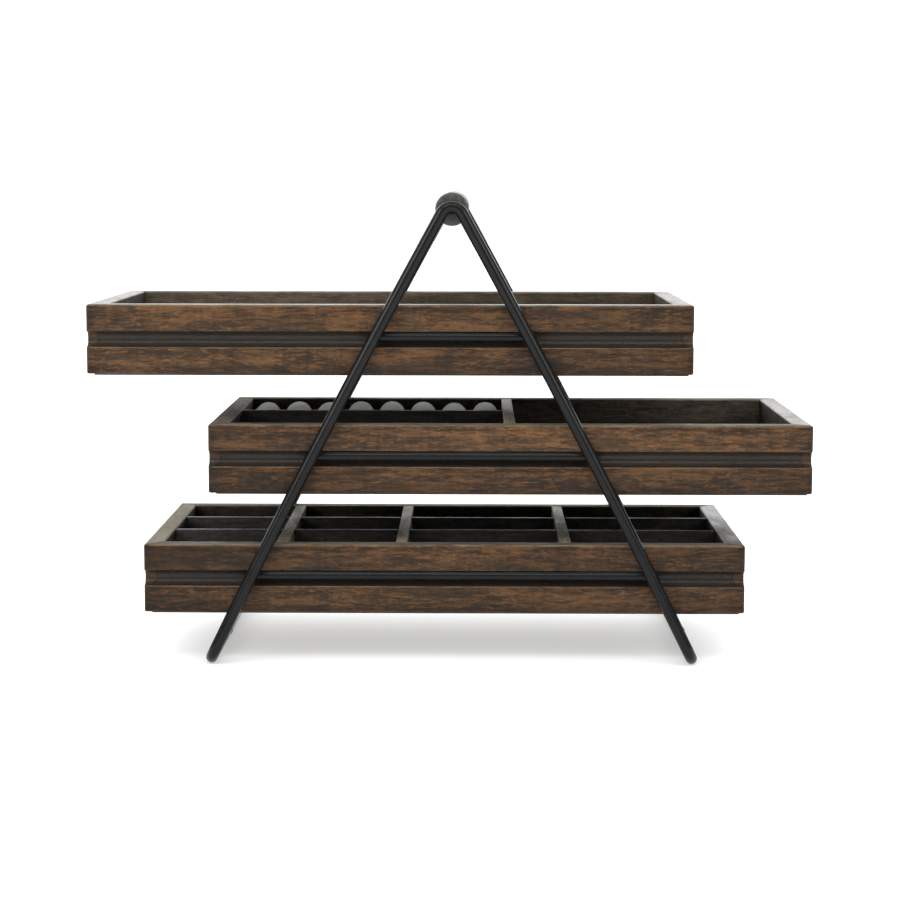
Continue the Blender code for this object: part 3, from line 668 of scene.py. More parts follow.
# ------------------------------------------------------------------ straight boards: panels and dividers
def plate(name, poly, lo, hi, plane, edge, mat, body, replaces, shift, offset, tone=1.0, segs=3, grain="x"):
    """A board cut from a flat outline with eased edges. plane 'xz' is thick along y, 'yz' along x, 'xy' along z."""
    bm = bmesh.new()
    place = {"xz": lambda u, v, w: (u, w, v), "yz": lambda u, v, w: (w, u, v), "xy": lambda u, v, w: (u, v, w)}[plane]
    verts = [bm.verts.new(place(u, v, lo)) for u, v in poly]
    face = bm.faces.new(verts)
    res = bmesh.ops.extrude_face_region(bm, geom=[face])
    move = Vector(place(0, 0, hi - lo))
    bmesh.ops.translate(bm, verts=[g for g in res["geom"] if isinstance(g, bmesh.types.BMVert)], vec=move)
    bmesh.ops.recalc_face_normals(bm, faces=bm.faces[:])
    bmesh.ops.bevel(bm, geom=bm.edges[:], offset=edge, segments=segs, profile=0.5, affect="EDGES", clamp_overlap=True)
    bmesh.ops.recalc_face_normals(bm, faces=bm.faces[:])
    mesh = bpy.data.meshes.new(name)
    bm.to_mesh(mesh)
    bm.free()
    co = np.empty(len(mesh.vertices) * 3)
    mesh.vertices.foreach_get("co", co)
    co = co.reshape(-1, 3)
    # wear from the distance to the two nearest outer faces
    low, high = co.min(0), co.max(0)
    f = np.sort(np.minimum(co - low, high - co), 1)
    wear = np.clip((edge - np.hypot(f[:, 0], f[:, 1])) / (0.55 * edge), 0, 1)
    order = (1, 0, 2) if grain == "y" else (0, 1, 2)
    vector_layer(mesh, "wz", np.stack([wear, 0 * wear, 0 * wear], 1))
    vector_layer(mesh, "gr", co[:, order] + np.array((offset, offset * 0.37, offset * 0.71)))
    float_layer(mesh, "bt", np.full(len(co), tone))
    mesh.transform(Matrix.Translation(Vector(shift) * MM) @ Matrix.Scale(MM, 4))
    mesh.shade_smooth()
    mesh.set_sharp_from_angle(angle=math.radians(50))
    return dressed(name, mesh, mat, body, replaces)


def tray_shift(level):
    return (TRAY_X[level], 0, TOPS[level] - H)


for i, level in enumerate(TOPS):
    x0, x1, y1 = -HW + REBATE + 1.5, HW - REBATE - 0.3, HD - REBATE - 0.3
    r = 1.2
    poly = []
    for cx, cy, a in ((x1 - r, y1 - r, 0), (x0 + r, y1 - r, 90), (x0 + r, -y1 + r, 180), (x1 - r, -y1 + r, 270)):
        for k in range(4):
            t = math.radians(a + 30 * k)
            poly.append((cx + r * math.cos(t), cy + r * math.sin(t)))
    plate(f"{level}_bottom_panel_fine", poly, 0.0, 4.0, "xy", 0.35, PANEL, f"{level}_tray",
          [f"{level}_bottom_panel"], tray_shift(level), 900.0 + 61 * i, 0.95, 2)

INX, INY = HW - WALL, HD - WALL
THICK, THIN = 6.0, 3.0
HALF = THICK / 2


def rect(u0, u1, v0, v1):
    return [(u0, v0), (u1, v0), (u1, v1), (u0, v1)]


plate("middle_cross_divider_fine", rect(-INY + 0.3, INY - 0.3, DIV_Z, H), -HALF, HALF, "yz", 0.7, DIVIDER_THICK,
      "middle_tray", ["middle_cross_divider"], tray_shift("middle"), 1200.0, 1.0, 4, "y")
plate("middle_long_divider_fine", rect(-INX + 0.3, -HALF - 0.3, DIV_Z, H - 0.3), 0.5, 3.5, "xz", 0.55, DIVIDER_THIN,
      "middle_tray", ["middle_long_divider"], tray_shift("middle"), 1290.0, 1.0, 4, "x")

THICK_X = (-87.0, -23.0, 65.0)
ROW = (2 * INY - 2 * THIN) / 3
THIN_Y = [-INY + (i + 1) * ROW + (i + 0.5) * THIN for i in range(2)]
LAP = (DIV_Z + H) / 2
for i, x in enumerate(THICK_X):
    poly = [(-INY + 0.3, DIV_Z)]
    for y in THIN_Y:
        s0, s1 = y - THIN / 2 - 0.3, y + THIN / 2 + 0.3
        poly += [(s0, DIV_Z), (s0, LAP + 0.15), (s1, LAP + 0.15), (s1, DIV_Z)]
    poly += [(INY - 0.3, DIV_Z), (INY - 0.3, H), (-INY + 0.3, H)]
    plate(f"bottom_cross_divider_{i + 1}_fine", poly, x - HALF, x + HALF, "yz", 0.6, DIVIDER_THICK, "bottom_tray",
          [f"bottom_cross_divider_{i + 1}"], tray_shift("bottom"), 1400.0 + 83 * i, 1.0, 4, "y")
for i, y in enumerate(THIN_Y):
    poly = [(-INX + 0.3, DIV_Z), (INX - 0.3, DIV_Z), (INX - 0.3, H - 0.3)]
    for x in reversed(THICK_X):
        s0, s1 = x - HALF - 0.3, x + HALF + 0.3
        poly += [(s1, H - 0.3), (s1, LAP - 0.15), (s0, LAP - 0.15), (s0, H - 0.3)]
    poly += [(-INX + 0.3, H - 0.3)]
    plate(f"bottom_long_divider_{i + 1}_fine", poly, y - THIN / 2, y + THIN / 2, "xz", 0.5, DIVIDER_THIN, "bottom_tray",
          [f"bottom_long_divider_{i + 1}"], tray_shift("bottom"), 1700.0 + 67 * i, 1.0, 4, "x")


# ------------------------------------------------------------------ felt liners: sheets laid on the base boards
def ticks(half, edge=(0, 0.25, 0.6, 1.1, 2.0), step=3.4):
    left = [-half + e for e in edge]
    inner = 2 * (half - edge[-1])
    n = max(1, int(round(inner / step)))
    mid = [-half + edge[-1] + inner * k / n for k in range(1, n)]
    return np.array(left + mid + [-v for v in reversed(left)])


def liner(level, serial):
    hx, hy, t, z0 = INX - 0.35, INY - 0.35, 1.0, FLOOR + 0.02
    xs, ys = ticks(hx), ticks(hy)
    nx, ny = len(xs), len(ys)
    gx, gy = np.meshgrid(xs, ys, indexing="ij")
    inset = np.minimum(hx - np.abs(gx), hy - np.abs(gy))
    round_off = np.sqrt(np.clip(1 - (1 - np.clip(inset / 0.6, 0, 1)) ** 2, 0, 1))
    flat = np.stack([gx.ravel(), gy.ravel(), 0 * gx.ravel()], 1)
    rise = 0.05 * wobble(flat, 0.045, 9.0 * serial) + 0.025 * wobble(flat, 0.21, 4.0 * serial)
    rise = rise.reshape(nx, ny) * np.clip(inset / 3.0, 0, 1)
    top = z0 + 0.45 + (t - 0.45 - 0.08) * round_off + rise
    # the cut edge isn't a ruled line
    cut = 0.12 * wobble(flat, 0.12, 2.0 * serial).reshape(nx, ny) * (inset < 0.3)
    px = gx - np.sign(gx) * np.abs(cut) * (np.abs(gx) > hx - 0.3)
    py = gy - np.sign(gy) * np.abs(cut) * (np.abs(gy) > hy - 0.3)
    upper = np.stack([px, py, top], -1).reshape(-1, 3)
    under = np.stack([px, py, np.full_like(px, z0)], -1).reshape(-1, 3)
    pts = np.concatenate([upper, under])
    k = nx * ny
    idx = lambda i, j: i * ny + j
    faces = []
    for i in range(nx - 1):
        for j in range(ny - 1):
            a, b, c, d = idx(i, j), idx(i + 1, j), idx(i + 1, j + 1), idx(i, j + 1)
            faces.append((a, b, c, d))
            faces.append((k + a, k + d, k + c, k + b))
    rim = [idx(i, 0) for i in range(nx)] + [idx(nx - 1, j) for j in range(1, ny)] \
        + [idx(i, ny - 1) for i in range(nx - 2, -1, -1)] + [idx(0, j) for j in range(ny - 2, 0, -1)]
    for m, a in enumerate(rim):
        b = rim[(m + 1) % len(rim)]
        faces.append((a, k + a, k + b, b))
    ob = finished(f"{level}_felt_liner_fine", pts, faces, BLACK_FELT, f"{level}_tray",
                  [f"{level}_felt_liner"], sharp=80, at=tray_shift(level))
    return ob


for i, level in enumerate(TOPS):
    liner(level, i + 1)


# ------------------------------------------------------------------ ring pad: felt rolls on a foam base
PAD_X0, PAD_X1 = -INX + 0.4, -HALF - 0.4
PAD_Y0, PAD_Y1 = 3.5 + 0.3, INY - 0.3
ROLLS = 8
PITCH = (PAD_X1 - PAD_X0) / ROLLS
ROLL_R = PITCH / 2
ROLL_Z = H - 2.0 - ROLL_R
ROUND = 8.45                     # a roll's own radius: neighbours just part at the top
ROLL_UP = ROLL_R - ROUND + 1.1   # the crowns stand just under the rim
PROUD = (-0.25, 0.20, -0.05, 0.35, 0.40, 0.20, -0.35, 0.10)    # no two rolls are stuffed alike
BASE_TOP = ROLL_Z + ROLL_UP - 7.5


def roll_shell(r, half_len, end_r, rings=26, sides=44, seed=0.0):
    """A closed roll along y, with softened ends; slightly uneven, as stuffed felt is."""
    ys, rs = [], []
    for k in range(7):
        a = math.radians(90) * k / 6
        ys.append(-half_len + end_r * (1 - math.sin(a)) if k else -half_len)
        rs.append(r - end_r + end_r * math.sin(a) if k else r - end_r)
    ys = [-half_len + end_r * (1 - math.cos(math.radians(15 * k))) for k in range(7)]
    rs = [r - end_r + end_r * math.sin(math.radians(15 * k)) for k in range(7)]
    ys += [-half_len + end_r + (2 * (half_len - end_r)) * k / rings for k in range(1, rings)]
    rs += [r] * (rings - 1)
    ys += [-y for y in reversed(ys[:7])]
    rs += list(reversed(rs[:7]))
    pts = []
    for y, q in zip(ys, rs):
        for s in range(sides):
            t = 2 * math.pi * s / sides
            w = 1 + 0.012 * noise.noise(Vector((math.cos(t) + seed, math.sin(t) - seed, y * 0.05 + seed)))
            pts.append((q * w * math.cos(t), y, q * w * math.sin(t)))
    n = sides
    faces = []
    for i in range(len(ys) - 1):
        for s in range(n):
            t = (s + 1) % n
            faces.append((i * n + s, i * n + t, (i + 1) * n + t, (i + 1) * n + s))
    faces.append(tuple(range(n)))
    faces.append(tuple(range((len(ys) - 1) * n, len(ys) * n)))
    return np.array(pts), faces


def new_object(name, pts, faces):
    mesh = bpy.data.meshes.new(name)
    mesh.from_pydata(np.asarray(pts, float).tolist(), [], [tuple(int(i) for i in f) for f in faces])
    bm = bmesh.new()
    bm.from_mesh(mesh)
    bmesh.ops.recalc_face_normals(bm, faces=bm.faces[:])
    bm.to_mesh(mesh)
    bm.free()
    ob = bpy.data.objects.new(name, mesh)
    scene.collection.objects.link(ob)
    return ob


def stuffed(ob, frames=20, pressure=3.0, voxel=0.034, stiff=14.0):
    """Remeshed, blown up by cloth simulation, and returned as points and faces in the object's own units."""
    mod = ob.modifiers.new("remesh", "REMESH")
    mod.mode, mod.voxel_size, mod.use_smooth_shade = "VOXEL", voxel, True
    mesh = evaluated(ob)
    remove(ob)
    ob = bpy.data.objects.new("stuffing", mesh)
    scene.collection.objects.link(ob)
    rest = np.array([v.co for v in mesh.vertices], float)
    cloth = ob.modifiers.new("cloth", "CLOTH")
    st = cloth.settings
    st.quality = 5
    st.mass = 0.35
    st.tension_stiffness = st.compression_stiffness = stiff
    st.shear_stiffness = 6.0
    st.bending_stiffness = 1.2
    st.use_pressure = True
    st.uniform_pressure_force = pressure
    st.effector_weights.gravity = 0.0
    cloth.collision_settings.use_collision = False
    cloth.point_cache.frame_start, cloth.point_cache.frame_end = 1, frames
    for f in range(1, frames + 1):
        scene.frame_set(f)
    out = evaluated(ob)
    moved = np.array([v.co for v in out.vertices], float)
    faces = [tuple(p.vertices) for p in out.polygons]
    remove(ob)
    bpy.data.meshes.remove(out)
    scene.frame_set(1)
    return rest, moved, faces


def soft_object(name, pts, faces, mat, body, replaces, levels=1):
    """Adds one subdivision, then the felt's own unevenness, and dresses the result."""
    ob = new_object(name + "_cage", pts, faces)
    if levels:
        mod = ob.modifiers.new("fine", "SUBSURF")
        mod.levels = mod.render_levels = levels
    mesh = evaluated(ob)
    remove(ob)
    co = np.array([v.co for v in mesh.vertices], float)
    nrm = np.array([v.normal for v in mesh.vertices], float)
    push = 0.045 * wobble(co, 0.55, 2.0) + 0.03 * wobble(co, 1.4, 7.0)
    co = (co + nrm * push[:, None]) * MM
    mesh.vertices.foreach_set("co", co.astype(np.float32).ravel())
    mesh.update()
    mesh.shade_smooth()
    return dressed(name, mesh, mat, body, replaces)


SIM = 20.0  # the cloth runs at twenty times life size, where its settings behave
roll_half = (PAD_Y1 - PAD_Y0) / 2 - 0.25
centre_y = (PAD_Y0 + PAD_Y1) / 2


def settle(p):
    """Rolls press flat against each other and their base, and stay inside their compartment. p is about the roll's centre, mm."""
    lim = ROUND
    q = p.copy()
    over = np.abs(q[:, 0]) - (lim - 0.8)
    soft = np.where(over > 0, (lim - 0.8) + 0.8 * np.tanh(over / 0.8), np.abs(q[:, 0]))
    q[:, 0] = np.sign(q[:, 0]) * soft
    floor = -7.6
    q[:, 2] = np.where(q[:, 2] < floor + 0.5, floor + 0.5 * np.tanh((q[:, 2] - floor) / 0.5 * 1.0), q[:, 2])
    q[:, 2] = np.maximum(q[:, 2], floor - 0.5)
    q[:, 2] = np.minimum(q[:, 2], ROUND - 0.02)
    lim_y = (PAD_Y1 - PAD_Y0) / 2 - 0.05
    q[:, 1] = np.clip(q[:, 1], -lim_y, lim_y)
    return q


pad_nodes = ["middle_ring_pad"]
sx, sy, sz = tray_shift("middle")
shells = []
# all the rolls in one simulation, side by side at life-size spacing times three so that they can't touch
all_pts, all_faces, base = [], [], 0
for i in range(ROLLS):
    pts, faces = roll_shell(7.85, roll_half - 0.35, 2.6, seed=1.3 * i + 0.4)
    pts[:, 0] += i * 40.0
    all_pts.append(pts * SIM * MM)
    all_faces += [tuple(v + base for v in f) for f in faces]
    base += len(pts)
rest, moved, faces = stuffed(new_object("rolls_start", np.concatenate(all_pts), all_faces))
step = moved - rest
size = np.linalg.norm(step, axis=1)
cap = 1.4 * SIM * MM
step *= np.where(size > cap, cap / np.maximum(size, 1e-9), 1.0)[:, None]
moved = (rest + step) / SIM / MM
which = np.rint(moved[:, 0] / 40.0).astype(int)
for i in range(ROLLS):
    keep = np.nonzero(which == i)[0]
    index = {int(v): k for k, v in enumerate(keep)}
    pts = moved[keep].copy()
    pts[:, 0] -= i * 40.0
    fs = [tuple(index[v] for v in f) for f in faces if f[0] in index]
    shells.append((pts, fs))

for i, (pts, fs) in enumerate(shells):
    pts = settle(pts)
    pts = pts + np.array((sx + PAD_X0 + (i + 0.5) * PITCH, centre_y, sz + ROLL_Z + ROLL_UP + PROUD[i]))
    ob = soft_object(f"ring_roll_{i + 1}", pts, fs, GREY_FELT, "middle_tray",
                     pad_nodes if i == 0 else [], 1)


def pad_base():
    """The foam block under the rolls: felt-covered, a rounded box."""
    x0, x1, y0, y1, z0, z1 = PAD_X0 + 0.1, PAD_X1 - 0.1, PAD_Y0 + 0.1, PAD_Y1 - 0.1, DIV_Z + 0.05, BASE_TOP
    nx, ny, nz = 66, 26, 6
    bm = bmesh.new()
    grid = {}

    def vert(i, j, k):
        key = (i, j, k)
        if key not in grid:
            u, v, w = 2 * i / nx - 1, 2 * j / ny - 1, 2 * k / nz - 1
            x, y, z = u * (x1 - x0) / 2, v * (y1 - y0) / 2, w * (z1 - z0) / 2
            # rounded box: pull the edges in
            r = 1.6
            hx, hy, hz = (x1 - x0) / 2, (y1 - y0) / 2, (z1 - z0) / 2
            cx, cy, cz = (max(-h + r, min(h - r, c)) for c, h in ((x, hx), (y, hy), (z, hz)))
            dv = Vector((x - cx, y - cy, z - cz))
            if dv.length > 1e-9:
                dv = dv.normalized() * r
            p = Vector((cx, cy, cz)) + dv
            grid[key] = bm.verts.new((p.x + (x0 + x1) / 2, p.y + (y0 + y1) / 2, p.z + (z0 + z1) / 2))
        return grid[key]

    def sheet_faces(a_n, b_n, fn):
        for a in range(a_n):
            for b in range(b_n):
                bm.faces.new((fn(a, b), fn(a + 1, b), fn(a + 1, b + 1), fn(a, b + 1)))

    for k in (0, nz):
        sheet_faces(nx, ny, lambda a, b, k=k: vert(a, b, k))
    for j in (0, ny):
        sheet_faces(nx, nz, lambda a, b, j=j: vert(a, j, b))
    for i in (0, nx):
        sheet_faces(ny, nz, lambda a, b, i=i: vert(i, a, b))
    bmesh.ops.recalc_face_normals(bm, faces=bm.faces[:])
    mesh = bpy.data.meshes.new("pad_base")
    bm.to_mesh(mesh)
    bm.free()
    co = np.array([v.co for v in mesh.vertices], float)
    faces = [tuple(p.vertices) for p in mesh.polygons]
    bpy.data.meshes.remove(mesh)
    return co + np.array((sx, 0, sz)), faces


pts, fs = pad_base()
ob = soft_object("ring_pad_base", pts, fs, PAD_BASE, "middle_tray", [], 0)


# ------------------------------------------------------------------ bent rods
def swept(points, radius, sides=28, seed=0.0):
    """A round rod along a line of points, capped, with frames carried along without twist."""
    p = np.array([tuple(v) for v in points], float)
    tan = np.gradient(p, axis=0)
    tan /= np.linalg.norm(tan, axis=1)[:, None]
    u = np.cross(tan[0], (0.31, 0.17, 0.93))
    u /= np.linalg.norm(u)
    verts = []
    for i in range(len(p)):
        u = u - tan[i] * np.dot(u, tan[i])
        u /= np.linalg.norm(u)
        v = np.cross(tan[i], u)
        for s in range(sides):
            a = 2 * math.pi * s / sides
            verts.append(p[i] + radius * (math.cos(a) * u + math.sin(a) * v))
    faces = []
    for i in range(len(p) - 1):
        for s in range(sides):
            t = (s + 1) % sides
            faces.append((i * sides + s, i * sides + t, (i + 1) * sides + t, (i + 1) * sides + s))
    faces.append(tuple(range(sides)))
    faces.append(tuple(range((len(p) - 1) * sides, len(p) * sides)))
    return np.array(verts), faces


def rod_line(side):
    """Centreline of one bent rod, mm: half a foot bar, bend, bowed leg, apex, and the same again."""
    y_leg, z_foot, foot_r, apex_r = side * LEG_Y, ROD_R, 9.0, 6.1
    m = leg_slope(z_foot)
    up = Vector((m, 0, 1)).normalized()
    out = Vector((0, side, 0))
    corner = Vector((-leg_w(z_foot), y_leg, z_foot))
    centre = corner - out * foot_r + up * foot_r
    start = Vector((corner.x, side * 0.15, z_foot))
    first = centre - up * foot_r
    line = [start.lerp(first, k / 14) for k in range(14)]
    for k in range(17):
        a = math.radians(90 * k / 16)
        line.append(centre + foot_r * (out * math.sin(a) - up * math.cos(a)))
    alpha = math.atan(leg_slope(233.5 + 16.6))
    z_bend = 233.5 + 9.13 / 0.5499 - apex_r / math.sin(alpha)
    z_from, z_to = line[-1].z, z_bend + apex_r * math.sin(alpha)
    for k in range(1, 60):
        z = z_from + (z_to - z_from) * k / 60
        line.append(Vector((-leg_w(z), y_leg, z)))
    arc = []
    for k in range(25):
        a = math.pi - alpha - (math.pi - 2 * alpha) * k / 24
        arc.append(Vector((apex_r * math.cos(a), y_leg, z_bend + apex_r * math.sin(a))))
    return line + arc + [Vector((-q.x, q.y, q.z)) for q in reversed(line)]


for side, name in ((-1, "front_frame_rod"), (1, "rear_frame_rod")):
    v, f = swept(rod_line(side), ROD_R)
    finished(name + "_fine", v, f, STEEL, "frame", [name], sharp=60)


# ------------------------------------------------------------------ rails
def rail(level, where, sy):
    z = TOPS[level] - 14.2 - 0.3 - RAIL_R
    half = leg_w(z) + 1.0
    xs = [-half, -half + 0.12, -half + 0.4] + list(np.linspace(-half + 0.9, half - 0.9, 60)) + [half - 0.4, half - 0.12, half]
    rs = [RAIL_R - 0.42, RAIL_R - 0.12, RAIL_R] + [RAIL_R] * 60 + [RAIL_R, RAIL_R - 0.12, RAIL_R - 0.42]
    n = 28
    pts, rub = [], []
    for x, r in zip(xs, rs):
        for s in range(n):
            a = 2 * math.pi * s / n
            pts.append((x, sy * RAIL_Y + r * math.cos(a), z + r * math.sin(a)))
            rub.append(max(0.0, math.sin(a)) ** 3)  # the groove's upper side slides on the crown
    faces = []
    for i in range(len(xs) - 1):
        for s in range(n):
            t = (s + 1) % n
            faces.append((i * n + s, i * n + t, (i + 1) * n + t, (i + 1) * n + s))
    faces += [tuple(range(n)), tuple(range((len(xs) - 1) * n, len(xs) * n))]
    ob = finished(f"{level}_{where}_rail_fine", pts, faces, RAIL, "frame", [f"{level}_{where}_rail"], sharp=50)
    float_layer(ob.data, "rub", rub)
    return half, z


def bead(name, centre, radii, seed, lean=0.0, flat_below=None):
    """A coated weld bead: a lumpy fillet."""
    bm = bmesh.new()
    bmesh.ops.create_icosphere(bm, subdivisions=4, radius=1.0)
    pts = []
    for v in bm.verts:
        q = v.co.copy()
        k = 1 + 0.10 * noise.noise(q * 1.6 + Vector((seed, 0, 0))) + 0.05 * noise.noise(q * 4.2 + Vector((0, seed, 0)))
        q = Vector((q.x * radii[0] * k, q.y * radii[1] * k, q.z * radii[2] * k))
        q = Matrix.Rotation(lean, 3, "Y") @ q + Vector(centre)
        if flat_below is not None and q.z < flat_below:
            q.z = flat_below
        pts.append(tuple(q))
    faces = [tuple(v.index for v in fa.verts) for fa in bm.faces]
    bm.free()
    return np.array(pts), faces


def joined(name, chunks, mat, body, sharp=60):
    pts, faces, base = [], [], 0
    for p, f in chunks:
        pts.append(np.asarray(p))
        faces += [tuple(i + base for i in q) for q in f]
        base += len(p)
    return finished(name, np.concatenate(pts), faces, mat, body, sharp=sharp)


seed = 0.0
for level in TOPS:
    for where, sy in (("front", -1), ("rear", 1)):
        half, z = rail(level, where, sy)
        for sxn, hand in ((-1, "left"), (1, "right")):
            seed += 1.7
            lean = sxn * math.atan(leg_slope(z)) * -1
            p, f = bead("w", (sxn * leg_w(z), sy * (RAIL_Y + RAIL_R + 0.2), z), (2.6, 0.95, 1.7), seed, lean)
            joined(f"{level}_{where}_{hand}_rail_weld", [(p, f)], WELD, "frame")


# ------------------------------------------------------------------ foot bar welds
def ring_weld(name, centre, radius, width, proud, seed):
    """A dressed butt weld round a bar that runs along y."""
    n, m = 56, 9
    pts, faces = [], []
    for i in range(m):
        u = -1 + 2 * i / (m - 1)
        for s in range(n):
            a = 2 * math.pi * s / n
            k = math.sqrt(max(0.0, 1 - u * u))
            lump = 1 + 0.35 * noise.noise(Vector((2 * math.cos(a) + seed, 2 * math.sin(a), u)))
            r = radius - 0.12 + (proud * lump + 0.12) * k
            x, z = centre[0] + r * math.cos(a), centre[2] + r * math.sin(a)
            pts.append((x, centre[1] + u * width / 2 * (1 + 0.12 * noise.noise(Vector((3 * math.cos(a), 3 * math.sin(a), seed)))),
                        max(z, 0.02)))
    for i in range(m - 1):
        for s in range(n):
            t = (s + 1) % n
            faces.append((i * n + s, i * n + t, (i + 1) * n + t, (i + 1) * n + s))
    faces += [tuple(range(n)), tuple(range((m - 1) * n, m * n))]
    return finished(name, pts, faces, WELD, "frame", sharp=60)


for sxn, hand in ((-1, "left"), (1, "right")):
    ring_weld(f"{hand}_foot_weld", (sxn * leg_w(ROD_R), 0.0, ROD_R), ROD_R, 3.4, 0.28, 3.3 + sxn)


# ------------------------------------------------------------------ handle
def dowel():
    half, r, bore = HD + 0.5 - 0.3 - 0.2, DOWEL_R, CORE_R + 0.3
    prof = [(bore, half - 2.0), (CORE_R + 0.02, half - 1.6), (CORE_R + 0.02, half - 0.02), (CORE_R + 0.05, half), (r - 3.0, half), (r - 1.25, half)]
    for k in range(1, 7):
        a = math.radians(15 * k)
        prof.append((r - 1.25 + 1.25 * math.sin(a), half - 1.25 + 1.25 * math.cos(a)))
    straight = [(r, y) for y in np.linspace(half - 1.25, -half + 1.25, 40)[1:-1]]
    prof = prof + straight + [(q, -y) for q, y in reversed(prof)]
    n = 84
    pts, wear, end = [], [], []
    for q, y in prof:
        for s in range(n):
            a = 2 * math.pi * s / n
            k = 0.0
            if q > r - 1.3:
                k = 0.025 * noise.noise(Vector((math.cos(a) * 1.2, math.sin(a) * 1.2, y * 0.04)))
            pts.append(((q + k) * math.cos(a), y, DOWEL_Z + (q + k) * math.sin(a)))
            d = math.hypot(r - q, half - abs(y))
            wear.append(max(0.0, min(1.0, (1.25 - d) / 0.7)))
    faces = []
    m = len(prof)
    for i in range(m):
        j = (i + 1) % m
        for s in range(n):
            t = (s + 1) % n
            faces.append((i * n + s, i * n + t, j * n + t, j * n + s))
    ob = finished("handle_dowel_fine", pts, faces, DOWEL, "frame", ["handle_dowel"], sharp=50)
    co = np.array(pts)
    vector_layer(ob.data, "wz", np.stack([wear, np.zeros(len(wear)), np.zeros(len(wear))], 1))
    vector_layer(ob.data, "gr", np.stack([co[:, 1] + 2100, co[:, 0] + 40, co[:, 2] - 11], 1))
    float_layer(ob.data, "bt", np.where(np.abs(co[:, 1]) > half - 0.3, 1.25, 1.0))  # the end faces' colour is made a quarter lighter
    return ob


dowel()
half = HD + 0.5 - 0.3
line = [Vector((0, y, DOWEL_Z)) for y in (-half, -half + 0.15, -half + 0.5)] + \
       [Vector((0, y, DOWEL_Z)) for y in np.linspace(-half + 2, half - 2, 24)] + \
       [Vector((0, y, DOWEL_Z)) for y in (half - 0.5, half - 0.15, half)]
v, f = swept(line, CORE_R, 32)
finished("handle_core_rod_fine", v, f, STEEL, "frame", ["handle_core_rod"], sharp=50)


# ------------------------------------------------------------------ camera
yaw, pitch, roll = -0.0100, 0.1158, -0.0014
fwd = Vector((math.sin(yaw) * math.cos(pitch), math.cos(yaw) * math.cos(pitch), -math.sin(pitch)))
right = Vector((math.cos(yaw), -math.sin(yaw), 0))
down = fwd.cross(right)
r2 = right * math.cos(roll) + down * math.sin(roll)
d2 = -right * math.sin(roll) + down * math.cos(roll)
cam_data = bpy.data.cameras.new("camera")
cam_data.sensor_width = 36.0
cam_data.lens = 91.58
cam_data.clip_start, cam_data.clip_end = 0.05, 50.0
cam = bpy.data.objects.new("camera", cam_data)
scene.collection.objects.link(cam)
cam.matrix_world = Matrix.Translation((0.0112, -1.28162, 0.25562)) @ Matrix((r2, -d2, -fwd)).transposed().to_4x4()
scene.camera = cam


# ------------------------------------------------------------------ studio
FLOOR_ALBEDO = 0.80
FLOOR_GLOW = 0.44


def studio_floor():
    s = Shader("pale_floor")
    at = s.node("TexCoord").outputs["Object"]
    n = s.noise(at, 3.0, 2.0, 0.5)
    s.set(color=s.mix(s.span(n, 0.3, 0.7), (FLOOR_ALBEDO,) * 3, (FLOOR_ALBEDO + 0.01,) * 3), rough=0.6, spec=0.2)
    # an opal table, lit a little from below, which keeps the contact shadow light
    s.bsdf.inputs["Emission Color"].default_value = (1.0, 1.0, 1.0, 1.0)
    s.bsdf.inputs["Emission Strength"].default_value = FLOOR_GLOW
    mesh = bpy.data.meshes.new("studio_floor")
    mesh.from_pydata([(-9, -9, 0), (9, -9, 0), (9, 9, 0), (-9, 9, 0)], [], [(0, 1, 2, 3)])
    mesh.materials.append(s.mat)
    ob = bpy.data.objects.new("studio_floor", mesh)
    scene.collection.objects.link(ob)


studio_floor()

world = bpy.data.worlds.new("studio")
scene.world = world
world.use_nodes = True
wt = world.node_tree
wt.nodes.clear()
w_out = wt.nodes.new("ShaderNodeOutputWorld")
w_bg = wt.nodes.new("ShaderNodeBackground")
wt.links.new(w_bg.outputs[0], w_out.inputs[0])
coord = wt.nodes.new("ShaderNodeTexCoord")
sep = wt.nodes.new("ShaderNodeSeparateXYZ")
wt.links.new(coord.outputs["Generated"], sep.inputs[0])


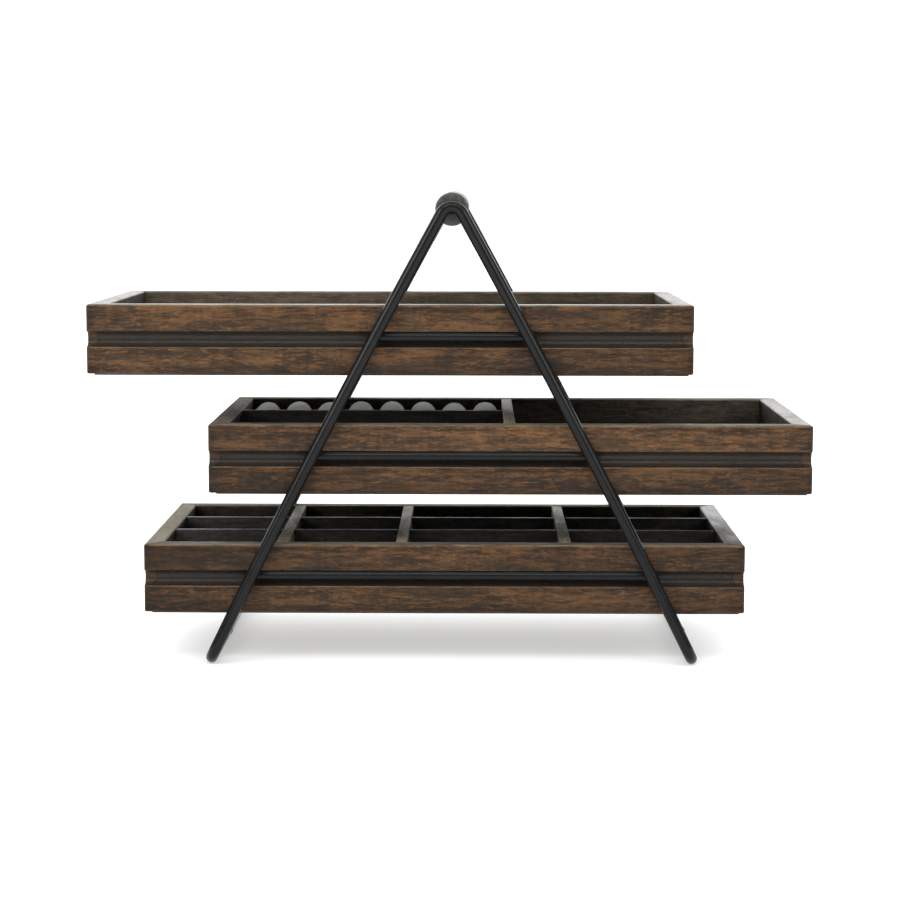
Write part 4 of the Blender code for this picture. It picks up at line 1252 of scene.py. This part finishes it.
def wmath(op, a, b=0.0, clamp=False):
    n = wt.nodes.new("ShaderNodeMath")
    n.operation, n.use_clamp = op, clamp
    for i, v in enumerate((a, b)):
        if isinstance(v, bpy.types.NodeSocket):
            wt.links.new(v, n.inputs[i])
        else:
            n.inputs[i].default_value = v
    return n.outputs[0]


def wspan(v, lo, hi, a=0.0, b=1.0):
    n = wt.nodes.new("ShaderNodeMapRange")
    n.interpolation_type = "SMOOTHSTEP"
    wt.links.new(v, n.inputs[0])
    for i, q in enumerate((lo, hi, a, b)):
        n.inputs[i + 1].default_value = q
    return n.outputs[0]


BEHIND, LOW, ABOVE, SIDE, FRONT = 3.0, 1.06, 1.25, 0.50, 0.30
# the white sweep behind, brightest above the stand
level_sum = wmath("MULTIPLY", wspan(sep.outputs[1], 0.45, 0.85, 0.0, 1.0), wspan(sep.outputs[2], 0.05, 0.30, LOW - SIDE, BEHIND - SIDE))
level_sum = wmath("ADD", level_sum, wspan(sep.outputs[1], -0.35, -0.85, 0.0, FRONT - SIDE))
level_sum = wmath("ADD", level_sum, wspan(sep.outputs[2], 0.40, 0.92, 0.0, ABOVE - SIDE))
level_sum = wmath("ADD", level_sum, SIDE)
wt.links.new(level_sum, w_bg.inputs["Strength"])
w_bg.inputs["Color"].default_value = (1.0, 1.0, 1.0, 1.0)


def soft_box(name, at, to, size, power, colour=(1, 1, 1)):
    data = bpy.data.lights.new(name, "AREA")
    data.shape = "RECTANGLE"
    data.size, data.size_y = size
    data.energy = power
    data.color = colour
    ob = bpy.data.objects.new(name, data)
    scene.collection.objects.link(ob)
    ob.visible_camera = False
    ob.location = at
    ob.rotation_euler = (Vector(to) - Vector(at)).to_track_quat("-Z", "Y").to_euler()
    return ob


soft_box("key_left", (-1.18, -1.08, 0.76), (0, 0, 0.12), (1.0, 0.72), 12.0)
soft_box("fill_right", (1.20, -1.05, 0.76), (0, 0, 0.12), (1.0, 0.72), 8.0)
soft_box("top_front", (0.0, -1.10, 1.20), (0, 0, 0.12), (1.5, 0.34), 7.5)

scene.view_settings.view_transform = "Standard"
scene.view_settings.look = "None"
scene.view_settings.exposure = 0.0
scene.view_settings.gamma = 1.0
